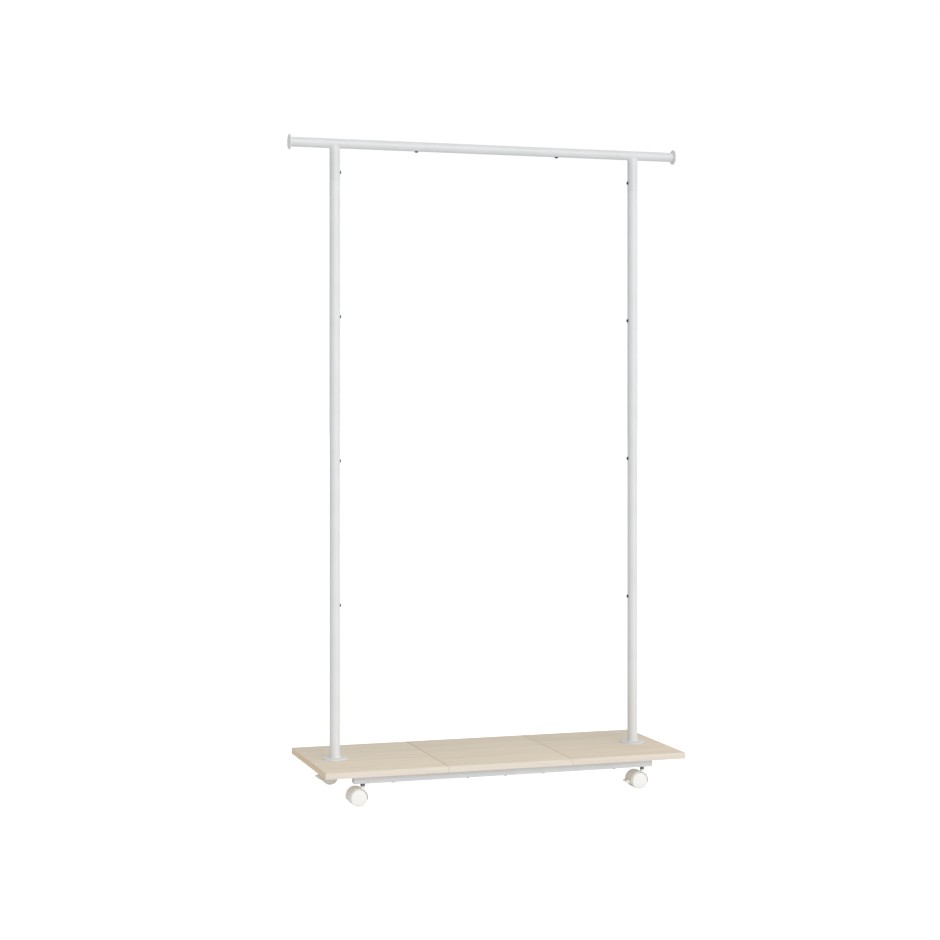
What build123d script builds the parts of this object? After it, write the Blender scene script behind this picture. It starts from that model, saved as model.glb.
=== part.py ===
from build123d import *
import os
from math import cos, radians, sin, sqrt

# Rolling clothes rack: a hanging bar on two sectional posts, a shelf of three boards on two rails,
# and four twin-wheel casters, two of them with a brake.
# Millimetres. The origin is on the floor under the middle of the shelf: +X runs along the bar to
# the right, +Y to the back and +Z up.

os.makedirs("parts", exist_ok=True)

# ---- Shelf ----
SHELF_LENGTH = 900.0
SHELF_DEPTH = 360.0
SHELF_TOP = 86.0
BOARD_THICKNESS = 15.0
MIDDLE_BOARD_LENGTH = 310.0
BOARD_GAP = 0.8
BOARD_EDGE_RADIUS = 0.8

# ---- Rails under the shelf ----
RAIL_SIZE = 20.0
RAIL_WALL = 1.2
RAIL_CORNER = 1.6
RAIL_Y = 140.0
RAIL_LENGTH = 752.0
RAIL_JOINT_X = -20.0
RAIL_JOINT_OVERLAP = 40.0
RAIL_TONGUE_CORNER = 0.8
RAIL_PLUG_HEAD = 4.0
RAIL_PLUG_CROWN = 3.2
RAIL_PLUG_DEPTH = 11.0
RAIL_PLUG_WALL = 1.6
RAIL_SCREWS_X = (-278.0, -95.0, 0.0, 95.0, 278.0)
JOINT_CLEARANCE = 0.1

# ---- Posts and hanging bar ----
POST_SPACING = 769.0
POST_RADIUS = 12.5
BAR_RADIUS = 11.5
TUBE_WALL = 1.0
TUBE_SECTION = 346.0
FOOT_SECTION = 347.0
TUBE_OVERLAP = 40.0
TUBE_SCREW_OFFSET = 20.0
SEAM_CHAMFER = 0.35
BAR_Z = 1560.0
BAR_TUBE_END = 491.5
BAR_SEAM_X = 161.0
STUB_NECK_DROP = 20.0
STUB_END_DROP = 4.0
STUB_END_DEPTH = 10.2
WELD_RADIUS = 2.5
BORE_TAPER = 4.0

# ---- Foot flange and its bolt ----
FLANGE_RADIUS = 31.0
FLANGE_THICKNESS = 2.6
FLANGE_FLARE = 5.0
FOOT_PLATE = 6.0
FOOT_BOLT_RADIUS = 4.0
FOOT_BOLT_LENGTH = 22.0
FOOT_BOLT_FLATS = 13.0
FOOT_BOLT_HEAD = 5.2
FOOT_WASHER_RADIUS = 15.0
FOOT_WASHER_THICKNESS = 2.0

# ---- End caps of the bar ----
CAP_RADIUS = 18.5
CAP_THICKNESS = 4.2
CAP_DOME = 1.6
CAP_NECK_RADIUS = 11.0
CAP_NECK = 1.5
CAP_SPIGOT = 18.0
CAP_SPIGOT_WALL = 2.1
CAP_LEAD_IN = 0.8

# ---- Screws ----
SCREW_RADIUS = 2.45
SCREW_HEAD_RADIUS = 4.3
SCREW_HEAD_HEIGHT = 2.7
SCREW_SOCKET = 3.0
TUBE_SCREW_LENGTH = 7.0
BOARD_SCREW_LENGTH = 31.0
SCREW_CLEARANCE = 0.05

# ---- Casters ----
CASTER_X = 352.0
WHEEL_RADIUS = 20.0
WHEEL_TRAIL = 14.0
WHEEL_INNER = 6.2
WHEEL_OUTER = 22.0
WHEEL_DOME = 0.7
WHEEL_RIM = 3.2
WHEEL_HUB_RADIUS = 6.0
WHEEL_DISC = 4.6
WHEEL_RIBS = 6
AXLE_RADIUS = 2.5
RUNNING_CLEARANCE = 0.05
FENDER_INNER = 20.9
FENDER_OUTER = 22.3
FENDER_HALF_WIDTH = 21.6
FENDER_START = -14.0
FENDER_END = 200.0
HOOD_GROOVE_DEPTH = 0.9
HOOD_GROOVE_HALF_WIDTH = 0.8
WEB_HALF_WIDTH = 5.6
TOWER_RADIUS = 5.0
TOWER_CHAMFER = 0.6
TOWER_TOP = 44.4
STEM_RADIUS = 3.0
STEM_BOTTOM = 22.5
STEM_TOP = 64.0
STEM_BEAD_RADIUS = 3.5
STEM_BEAD_Z = 26.0
STEM_BEAD_HEIGHT = 1.4
STEM_END_CHAMFER = 1.0
NUT_ACROSS_FLATS = 10.0
NUT_BOTTOM = 44.8
INSERT_FLANGE = 1.0
INSERT_LENGTH = 12.0
INSERT_WALL = 1.45
INSERT_FLANGE_REACH = 3.0

# ---- Brake of two of the casters ----
BRAKE_PIVOT = (-31.0, 27.0)
BRAKE_TRAVEL = 12.0
BRAKE_PIN_RADIUS = 1.25
BRAKE_ARM_HALF_WIDTH = 4.3
BRAKE_SLOT_HALF_WIDTH = 4.5
BRAKE_SLOT_X = -26.5
BRAKE_PEDAL_HALF_WIDTH = 11.0
BRAKE_SHOE_RADIUS = 20.3
BRAKE_ARM_ANGLES = (129.0, 153.0, 178.0)
BRAKE_ARM_FOOT = ((-37.2, 14.2), (-33.2, 13.6))
BRAKE_ARM_BACK = ((-28.4, 21.5), (-27.5, 30.0))
BRAKE_POCKET_ANGLES = (171.0, 210.0)
BRAKE_POCKET_CLEARANCE = 0.8
PEDAL_TOP = ((-35.0, 22.4), (-45.4, 20.3))
PEDAL_BOTTOM = ((-45.8, 17.4), (-35.0, 10.9))
PEDAL_TIP_RADIUS = 1.2
PEDAL_RIBS = 3
PEDAL_RIB_RADIUS = 0.55
PEDAL_RIB_START = -38.5
PEDAL_RIB_PITCH = 2.5

# ---- Sizes that follow from the ones above ----
RAIL_TOP = SHELF_TOP - BOARD_THICKNESS
RAIL_BOTTOM = RAIL_TOP - RAIL_SIZE
RAIL_MIDDLE = (RAIL_TOP + RAIL_BOTTOM) / 2
POST_X = POST_SPACING / 2
HOLE_RADIUS = SCREW_RADIUS + SCREW_CLEARANCE
SEAMS_Z = [SHELF_TOP + FOOT_SECTION + TUBE_SECTION * n for n in range(4)]
AXLE = (-WHEEL_TRAIL, WHEEL_RADIUS)
SIDES = {"left": -1, "right": 1}
LEVELS = ("lower", "middle", "upper")


def front_plane(x=0.0, y=0.0):
    """Upright plane seen from the front: local x is +X and local y is +Z."""
    return Plane(origin=(x, y, 0), x_dir=(1, 0, 0), z_dir=(0, -1, 0))


def disc(plane, radius):
    """Round sketch on a plane, for holes and shanks."""
    with BuildSketch(plane) as sketch:
        Circle(radius)
    return sketch.sketch


def radial_hole(x, z, direction, reach):
    """Cut a screw hole from a tube's centre line outwards."""
    hole = disc(Plane(origin=(x, 0, z), z_dir=direction), HOLE_RADIUS)
    extrude(hole, amount=reach, mode=Mode.SUBTRACT)


def dome_height(radius, height, at_radius):
    """Height of a spherical dome above its rim plane, at a distance from its axis."""
    ball = (radius**2 + height**2) / (2 * height)
    return sqrt(ball**2 - at_radius**2) - (ball - height)


def dome_screw(base, direction, length, pointed=False):
    """One dome-head screw whose head sits on base and points along direction."""
    plane = Plane(origin=base, z_dir=direction)
    with BuildPart() as screw:
        with BuildSketch(plane):
            Circle(SCREW_HEAD_RADIUS)
        extrude(amount=SCREW_HEAD_HEIGHT)
        rim = screw.edges().sort_by(Axis(base, direction))[-1]
        fillet(rim, SCREW_HEAD_HEIGHT * 0.8)
        with BuildSketch(plane.offset(SCREW_HEAD_HEIGHT)):
            RegularPolygon(SCREW_SOCKET / 2, 6, major_radius=False)
        extrude(amount=-SCREW_HEAD_HEIGHT * 0.7, mode=Mode.SUBTRACT)
        with BuildSketch(plane):
            Circle(SCREW_RADIUS)
        extrude(amount=-length)
        if pointed:
            tip = screw.faces().sort_by(Axis(base, direction))[0]
            chamfer(tip.edges(), SCREW_RADIUS * 0.8)
    return screw.part


# ==== Shelf boards ====
half_middle = MIDDLE_BOARD_LENGTH / 2
BOARD_SPANS = {
    "board_left": (-SHELF_LENGTH / 2, -half_middle - BOARD_GAP / 2),
    "board_middle": (-half_middle + BOARD_GAP / 2, half_middle - BOARD_GAP / 2),
    "board_right": (half_middle + BOARD_GAP / 2, SHELF_LENGTH / 2),
}
for board_name, (x_low, x_high) in BOARD_SPANS.items():
    with BuildPart() as board:
        with BuildSketch(Plane(origin=((x_low + x_high) / 2, 0, RAIL_TOP))):
            Rectangle(x_high - x_low, SHELF_DEPTH)
        extrude(amount=BOARD_THICKNESS)
        fillet(board.edges(), BOARD_EDGE_RADIUS)
        board_screws_x = [x for x in RAIL_SCREWS_X if x_low < x < x_high]
        screw_places = [(x, y) for x in board_screws_x for y in (-RAIL_Y, RAIL_Y)]
        with BuildSketch(Plane.XY.offset(RAIL_TOP)):
            with Locations(*screw_places):
                Circle(HOLE_RADIUS)
        extrude(amount=BOARD_SCREW_LENGTH - RAIL_SIZE + 1, mode=Mode.SUBTRACT)
        for side in SIDES.values():
            if x_low < side * POST_X < x_high:
                with BuildSketch(Plane(origin=(side * POST_X, 0, RAIL_TOP))):
                    Circle(FOOT_BOLT_RADIUS + 5 * JOINT_CLEARANCE)
                extrude(amount=BOARD_THICKNESS, mode=Mode.SUBTRACT)
    board.part.label = board_name
    export_step(board.part, f"parts/{board_name}.step")


# ==== Rails: each is two halves, joined by a stepped-in end and a screw ====
def square_ring(x, y, size, wall, corner):
    """Hollow square section across X."""
    with BuildSketch(Plane(origin=(x, y, RAIL_MIDDLE), x_dir=(0, 1, 0), z_dir=(1, 0, 0))) as ring:
        RectangleRounded(size, size, corner)
        RectangleRounded(size - 2 * wall, size - 2 * wall, corner * 0.4, mode=Mode.SUBTRACT)
    return ring.sketch


rail_tube_end = RAIL_LENGTH / 2 - RAIL_PLUG_HEAD
RAIL_SPANS = {"left": (-rail_tube_end, RAIL_JOINT_X), "right": (RAIL_JOINT_X, rail_tube_end)}
inside_size = RAIL_SIZE - 2 * RAIL_WALL - 2 * JOINT_CLEARANCE
for row_name, row in {"front": -1, "rear": 1}.items():
    for side_name, (x_low, x_high) in RAIL_SPANS.items():
        with BuildPart() as rail:
            outer = square_ring(x_low, row * RAIL_Y, RAIL_SIZE, RAIL_WALL, RAIL_CORNER)
            extrude(outer, amount=x_high - x_low)
            if side_name == "left":
                step_x = x_high - RAIL_WALL
                step = square_ring(step_x, row * RAIL_Y, RAIL_SIZE - RAIL_WALL, 2 * RAIL_WALL, RAIL_CORNER)
                extrude(step, amount=RAIL_WALL)
                tongue = square_ring(step_x, row * RAIL_Y, inside_size, RAIL_WALL, RAIL_TONGUE_CORNER)
                extrude(tongue, amount=RAIL_JOINT_OVERLAP + RAIL_WALL)
            reach = x_high + (RAIL_JOINT_OVERLAP if side_name == "left" else 0)
            rail_holes = [(x, row * RAIL_Y) for x in RAIL_SCREWS_X if x_low < x < reach]
            with BuildSketch(Plane.XY.offset(RAIL_BOTTOM)):
                with Locations(*rail_holes):
                    Circle(HOLE_RADIUS)
            extrude(amount=RAIL_SIZE, mode=Mode.SUBTRACT)
            with BuildSketch(Plane(origin=(SIDES[side_name] * CASTER_X, row * RAIL_Y, RAIL_BOTTOM))):
                Circle(STEM_RADIUS + INSERT_WALL + RUNNING_CLEARANCE)
            extrude(amount=RAIL_WALL, mode=Mode.SUBTRACT)
        rail.part.label = f"rail_{row_name}_{side_name}"
        export_step(rail.part, f"parts/rail_{row_name}_{side_name}.step")

        side = SIDES[side_name]
        plug_face = Plane(origin=(side * rail_tube_end, row * RAIL_Y, RAIL_MIDDLE), z_dir=(side, 0, 0))
        spigot_bore = inside_size - 2 * RAIL_PLUG_WALL
        with BuildPart() as plug:
            with BuildSketch(plug_face):
                RectangleRounded(RAIL_SIZE, RAIL_SIZE, RAIL_CORNER)
            extrude(amount=RAIL_PLUG_HEAD)
            outer_face = plug.faces().sort_by(Axis.X)[-1 if side > 0 else 0]
            fillet(outer_face.edges(), RAIL_PLUG_CROWN)
            with BuildSketch(plug_face):
                RectangleRounded(inside_size, inside_size, RAIL_TONGUE_CORNER)
                RectangleRounded(spigot_bore, spigot_bore, RAIL_TONGUE_CORNER, mode=Mode.SUBTRACT)
            extrude(amount=-RAIL_PLUG_DEPTH)
        plug.part.label = f"rail_plug_{row_name}_{side_name}"
        export_step(plug.part, f"parts/rail_plug_{row_name}_{side_name}.step")

    down = (0, 0, -1)
    long_screws = [
        dome_screw((screw_x, row * RAIL_Y, RAIL_BOTTOM), down, BOARD_SCREW_LENGTH, pointed=True)
        for screw_x in RAIL_SCREWS_X
    ]
    with BuildPart() as board_screws:
        add(long_screws)
    board_screws.part.label = f"board_screws_{row_name}"
    export_step(board_screws.part, f"parts/board_screws_{row_name}.step")


# ==== Posts: foot, three tubes and a T-piece, each reduced end going up into the next ====
def tube_profile(axis_x, bottom, top, foot=False):
    """Half-section of a post tube: plain or flanged at the bottom, with a reduced end at the top."""
    bore = POST_RADIUS - TUBE_WALL
    tongue = bore - JOINT_CLEARANCE
    tongue_bore = tongue - TUBE_WALL
    end = top + TUBE_OVERLAP
    with BuildSketch(front_plane(axis_x)) as profile:
        with BuildLine():
            if foot:
                flange_top = bottom + FLANGE_THICKNESS
                rim = FLANGE_THICKNESS * 0.6
                flare_x = POST_RADIUS + FLANGE_FLARE
                flare_z = flange_top + FLANGE_FLARE
                quarter = radians(45)
                Polyline(
                    (bore, bottom + FOOT_PLATE),
                    (FOOT_BOLT_RADIUS + 0.1, bottom + FOOT_PLATE),
                    (FOOT_BOLT_RADIUS + 0.1, bottom),
                    (FLANGE_RADIUS, bottom),
                    (FLANGE_RADIUS, flange_top - rim),
                )
                ThreePointArc(
                    (FLANGE_RADIUS, flange_top - rim),
                    (FLANGE_RADIUS - rim * (1 - cos(quarter)), flange_top - rim * (1 - sin(quarter))),
                    (FLANGE_RADIUS - rim, flange_top),
                )
                Line((FLANGE_RADIUS - rim, flange_top), (flare_x, flange_top))
                ThreePointArc(
                    (flare_x, flange_top),
                    (flare_x - FLANGE_FLARE * sin(quarter), flare_z - FLANGE_FLARE * cos(quarter)),
                    (POST_RADIUS, flare_z),
                )
                lower_end = (POST_RADIUS, flare_z)
                first = (bore, bottom + FOOT_PLATE)
            else:
                Polyline((bore, bottom), (POST_RADIUS - SEAM_CHAMFER, bottom), (POST_RADIUS, bottom + SEAM_CHAMFER))
                lower_end = (POST_RADIUS, bottom + SEAM_CHAMFER)
                first = (bore, bottom)
            Polyline(
                lower_end,
                (POST_RADIUS, top - SEAM_CHAMFER),
                (POST_RADIUS - SEAM_CHAMFER, top),
                (tongue, top),
                (tongue, end - TUBE_WALL),
                (tongue - TUBE_WALL * 0.6, end),
                (tongue_bore, end),
                (tongue_bore, top - TUBE_WALL),
                (bore, top - TUBE_WALL - BORE_TAPER),
                first,
            )
        make_face()
    return profile.sketch


for side_name, side in SIDES.items():
    post_x = side * POST_X
    inward = (-side, 0, 0)
    post_axis = Axis((post_x, 0, 0), (0, 0, 1))

    with BuildPart() as foot:
        revolve(tube_profile(post_x, SHELF_TOP, SEAMS_Z[0], foot=True), axis=post_axis)
        radial_hole(post_x, SEAMS_Z[0] + TUBE_SCREW_OFFSET, inward, POST_RADIUS + 1)
    foot.part.label = f"post_foot_{side_name}"
    export_step(foot.part, f"parts/post_foot_{side_name}.step")

    for level, bottom, top in zip(LEVELS, SEAMS_Z[:-1], SEAMS_Z[1:]):
        with BuildPart() as tube:
            revolve(tube_profile(post_x, bottom, top), axis=post_axis)
            for seam in (bottom, top):
                radial_hole(post_x, seam + TUBE_SCREW_OFFSET, inward, POST_RADIUS + 1)
        tube.part.label = f"post_tube_{level}_{side_name}"
        export_step(tube.part, f"parts/post_tube_{level}_{side_name}.step")

    stub_base = Plane(origin=(post_x, 0, SEAMS_Z[-1]))
    neck = Plane(origin=(post_x, 0, BAR_Z - STUB_NECK_DROP))
    bar_start = Plane(origin=(side * BAR_SEAM_X, 0, BAR_Z), z_dir=(side, 0, 0))
    with BuildPart() as t_piece:
        with BuildSketch(stub_base):
            Circle(POST_RADIUS)
        extrude(amount=neck.origin.Z - SEAMS_Z[-1])
        chamfer(t_piece.edges().sort_by(Axis.Z)[0], SEAM_CHAMFER)
        with BuildSketch(neck):
            Circle(POST_RADIUS)
        with BuildSketch(neck.offset(STUB_NECK_DROP - STUB_END_DROP)):
            Ellipse(POST_RADIUS, STUB_END_DEPTH)
        loft()
        with BuildSketch(bar_start):
            Circle(BAR_RADIUS)
        extrude(amount=BAR_TUBE_END - BAR_SEAM_X)
        bar_ends = t_piece.edges().filter_by(GeomType.CIRCLE).sort_by(Axis.X)
        chamfer([bar_ends[0], bar_ends[-1]], SEAM_CHAMFER)
        saddle = t_piece.edges().filter_by(GeomType.BSPLINE).sort_by(SortBy.LENGTH)[-1]
        fillet(saddle, WELD_RADIUS)
        with BuildSketch(stub_base):
            Circle(POST_RADIUS - TUBE_WALL)
        extrude(amount=neck.origin.Z - SEAMS_Z[-1], mode=Mode.SUBTRACT)
        with BuildSketch(bar_start):
            Circle(BAR_RADIUS - TUBE_WALL)
        extrude(amount=BAR_TUBE_END - BAR_SEAM_X, mode=Mode.SUBTRACT)
        radial_hole(post_x, SEAMS_Z[-1] + TUBE_SCREW_OFFSET, inward, POST_RADIUS + 1)
        radial_hole(side * (BAR_SEAM_X + TUBE_SCREW_OFFSET), BAR_Z, (0, 0, -1), BAR_RADIUS + 1)
    t_piece.part.label = f"t_piece_{side_name}"
    export_step(t_piece.part, f"parts/t_piece_{side_name}.step")

    head_x = post_x - side * POST_RADIUS
    side_screws = [
        dome_screw((head_x, 0, seam + TUBE_SCREW_OFFSET), inward, TUBE_SCREW_LENGTH) for seam in SEAMS_Z
    ]
    with BuildPart() as post_screws:
        add(side_screws)
    post_screws.part.label = f"post_screws_{side_name}"
    export_step(post_screws.part, f"parts/post_screws_{side_name}.step")

    with BuildPart() as washer:
        with BuildSketch(Plane(origin=(post_x, 0, RAIL_TOP))):
            Circle(FOOT_WASHER_RADIUS)
            Circle(FOOT_BOLT_RADIUS + 0.2, mode=Mode.SUBTRACT)
        extrude(amount=-FOOT_WASHER_THICKNESS)
    washer.part.label = f"foot_washer_{side_name}"
    export_step(washer.part, f"parts/foot_washer_{side_name}.step")

    bolt_seat = RAIL_TOP - FOOT_WASHER_THICKNESS
    with BuildPart() as bolt:
        with BuildSketch(Plane(origin=(post_x, 0, bolt_seat))):
            RegularPolygon(FOOT_BOLT_FLATS / 2, 6, major_radius=False)
        extrude(amount=-FOOT_BOLT_HEAD)
        chamfer(bolt.faces().sort_by(Axis.Z)[0].edges(), 0.5)
        with BuildSketch(Plane(origin=(post_x, 0, bolt_seat))):
            Circle(FOOT_BOLT_RADIUS)
        extrude(amount=FOOT_BOLT_LENGTH)
    bolt.part.label = f"foot_bolt_{side_name}"
    export_step(bolt.part, f"parts/foot_bolt_{side_name}.step")

    cap_inner = BAR_TUBE_END + CAP_NECK
    cap_outer = cap_inner + CAP_THICKNESS
    cap_tail = BAR_TUBE_END - CAP_SPIGOT
    spigot_radius = BAR_RADIUS - TUBE_WALL - JOINT_CLEARANCE
    cap_plane = Plane(origin=(0, 0, BAR_Z), x_dir=(side, 0, 0), z_dir=(0, -side, 0))
    with BuildPart() as end_cap:
        with BuildSketch(cap_plane):
            with BuildLine():
                Polyline(
                    (cap_outer + CAP_DOME, 0),
                    (cap_tail, 0),
                    (cap_tail, spigot_radius - CAP_LEAD_IN),
                    (cap_tail + 2 * CAP_LEAD_IN, spigot_radius),
                    (BAR_TUBE_END, spigot_radius),
                    (BAR_TUBE_END, CAP_NECK_RADIUS),
                    (cap_inner, CAP_NECK_RADIUS),
                    (cap_inner, CAP_RADIUS - CAP_THICKNESS / 2),
                )
                ThreePointArc(
                    (cap_inner, CAP_RADIUS - CAP_THICKNESS / 2),
                    (cap_inner + CAP_THICKNESS / 2, CAP_RADIUS),
                    (cap_outer, CAP_RADIUS - CAP_THICKNESS / 2),
                )
                dome_rim = CAP_RADIUS - CAP_THICKNESS / 2
                ThreePointArc(
                    (cap_outer, dome_rim),
                    (cap_outer + dome_height(dome_rim, CAP_DOME, dome_rim / 2), dome_rim / 2),
                    (cap_outer + CAP_DOME, 0),
                )
            make_face()
        revolve(axis=Axis((0, 0, BAR_Z), (1, 0, 0)))
        with BuildSketch(Plane(origin=(side * cap_tail, 0, BAR_Z), z_dir=(side, 0, 0))):
            Circle(spigot_radius - CAP_SPIGOT_WALL)
        extrude(amount=CAP_SPIGOT, mode=Mode.SUBTRACT)
    end_cap.part.label = f"end_cap_{side_name}"
    export_step(end_cap.part, f"parts/end_cap_{side_name}.step")


# ==== Middle of the hanging bar and its two screws ====
bar_bore = BAR_RADIUS - TUBE_WALL
bar_tongue = bar_bore - JOINT_CLEARANCE
with BuildPart() as bar_middle:
    with BuildSketch(front_plane()):
        half_section = [
            (0, BAR_RADIUS),
            (BAR_SEAM_X - SEAM_CHAMFER, BAR_RADIUS),
            (BAR_SEAM_X, BAR_RADIUS - SEAM_CHAMFER),
            (BAR_SEAM_X, bar_tongue),
            (BAR_SEAM_X + TUBE_OVERLAP, bar_tongue),
            (BAR_SEAM_X + TUBE_OVERLAP, bar_tongue - TUBE_WALL),
            (BAR_SEAM_X - TUBE_WALL, bar_tongue - TUBE_WALL),
            (BAR_SEAM_X - TUBE_WALL - BORE_TAPER, bar_bore),
            (0, bar_bore),
        ]
        Polygon(*[(x, BAR_Z + r) for x, r in half_section], align=None)
        mirror(about=Plane.YZ)
    revolve(axis=Axis((0, 0, BAR_Z), (1, 0, 0)))
    for side in SIDES.values():
        radial_hole(side * (BAR_SEAM_X + TUBE_SCREW_OFFSET), BAR_Z, (0, 0, -1), BAR_RADIUS + 1)
bar_middle.part.label = "bar_middle"
export_step(bar_middle.part, "parts/bar_middle.step")

under_bar_screws = [
    dome_screw((side * (BAR_SEAM_X + TUBE_SCREW_OFFSET), 0, BAR_Z - BAR_RADIUS), down, TUBE_SCREW_LENGTH)
    for side in SIDES.values()
]
with BuildPart() as bar_screws:
    add(under_bar_screws)
bar_screws.part.label = "bar_screws"
export_step(bar_screws.part, "parts/bar_screws.step")


# ==== Casters ====
CORNERS = {
    "front_left": (-CASTER_X, -RAIL_Y, False),
    "front_right": (CASTER_X, -RAIL_Y, True),
    "rear_left": (-CASTER_X, RAIL_Y, True),
    "rear_right": (CASTER_X, RAIL_Y, False),
}

inside_rail = RAIL_BOTTOM + RAIL_WALL
with BuildPart() as inserts:
    for x, y, _ in CORNERS.values():
        for low, high, radius in (
            (RAIL_BOTTOM - INSERT_FLANGE, RAIL_BOTTOM, STEM_RADIUS + INSERT_FLANGE_REACH),
            (RAIL_BOTTOM, RAIL_BOTTOM + INSERT_LENGTH, STEM_RADIUS + INSERT_WALL),
            (inside_rail, inside_rail + 2 * INSERT_FLANGE, STEM_RADIUS + INSERT_FLANGE_REACH),
        ):
            with BuildSketch(Plane(origin=(x, y, low))):
                Circle(radius)
                Circle(STEM_RADIUS + RUNNING_CLEARANCE, mode=Mode.SUBTRACT)
            extrude(amount=high - low)
inserts.part.label = "rail_threaded_inserts"
export_step(inserts.part, "parts/rail_threaded_inserts.step")

with BuildPart() as nuts:
    nut_height = RAIL_BOTTOM - INSERT_FLANGE - NUT_BOTTOM
    for x, y, _ in CORNERS.values():
        with BuildSketch(Plane(origin=(x, y, NUT_BOTTOM))):
            RegularPolygon(NUT_ACROSS_FLATS / 2, 6, major_radius=False)
            Circle(STEM_RADIUS + RUNNING_CLEARANCE, mode=Mode.SUBTRACT)
        extrude(amount=nut_height)
    outer_edges = nuts.edges().filter_by(GeomType.LINE).filter_by(Axis.Z, reverse=True)
    chamfer(outer_edges, 0.5)
nuts.part.label = "caster_nuts"
export_step(nuts.part, "parts/caster_nuts.step")


def turned(point, pivot, degrees_turned):
    """Turn a point about a pivot in the upright plane, anticlockwise seen from the front."""
    c, s = cos(radians(degrees_turned)), sin(radians(degrees_turned))
    dx, dz = point[0] - pivot[0], point[1] - pivot[1]
    return (pivot[0] + dx * c - dz * s, pivot[1] + dx * s + dz * c)


def on_circle(radius, angle):
    """Point at an angle round the axle, in the caster's upright plane."""
    return (AXLE[0] + radius * cos(radians(angle)), AXLE[1] + radius * sin(radians(angle)))


def ring_sector(plane, inner, outer, start, end):
    """Stretch of ring round the axle."""
    middle = (start + end) / 2
    with BuildSketch(plane) as sector:
        with BuildLine():
            ThreePointArc(on_circle(outer, start), on_circle(outer, middle), on_circle(outer, end))
            Line(on_circle(outer, end), on_circle(inner, end))
            ThreePointArc(on_circle(inner, end), on_circle(inner, middle), on_circle(inner, start))
            Line(on_circle(inner, start), on_circle(outer, start))
        make_face()
    return sector.sketch


def build_stem(corner, x, y):
    """Threaded stem: screwed into the rail, with a snap bead that holds the hood on its pin."""
    with BuildPart() as stem:
        with BuildSketch(front_plane(x, y)):
            Polygon(
                (0, STEM_BOTTOM),
                (STEM_RADIUS - STEM_END_CHAMFER, STEM_BOTTOM),
                (STEM_RADIUS, STEM_BOTTOM + STEM_END_CHAMFER),
                (STEM_RADIUS, STEM_BEAD_Z),
                (STEM_BEAD_RADIUS, STEM_BEAD_Z + STEM_BEAD_HEIGHT / 3),
                (STEM_BEAD_RADIUS, STEM_BEAD_Z + STEM_BEAD_HEIGHT * 2 / 3),
                (STEM_RADIUS, STEM_BEAD_Z + STEM_BEAD_HEIGHT),
                (STEM_RADIUS, STEM_TOP - STEM_END_CHAMFER),
                (STEM_RADIUS - STEM_END_CHAMFER, STEM_TOP),
                (0, STEM_TOP),
                align=None,
            )
        revolve(axis=Axis((x, y, 0), (0, 0, 1)))
    stem.part.label = f"caster_{corner}_stem"
    export_step(stem.part, f"parts/caster_{corner}_stem.step")


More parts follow.
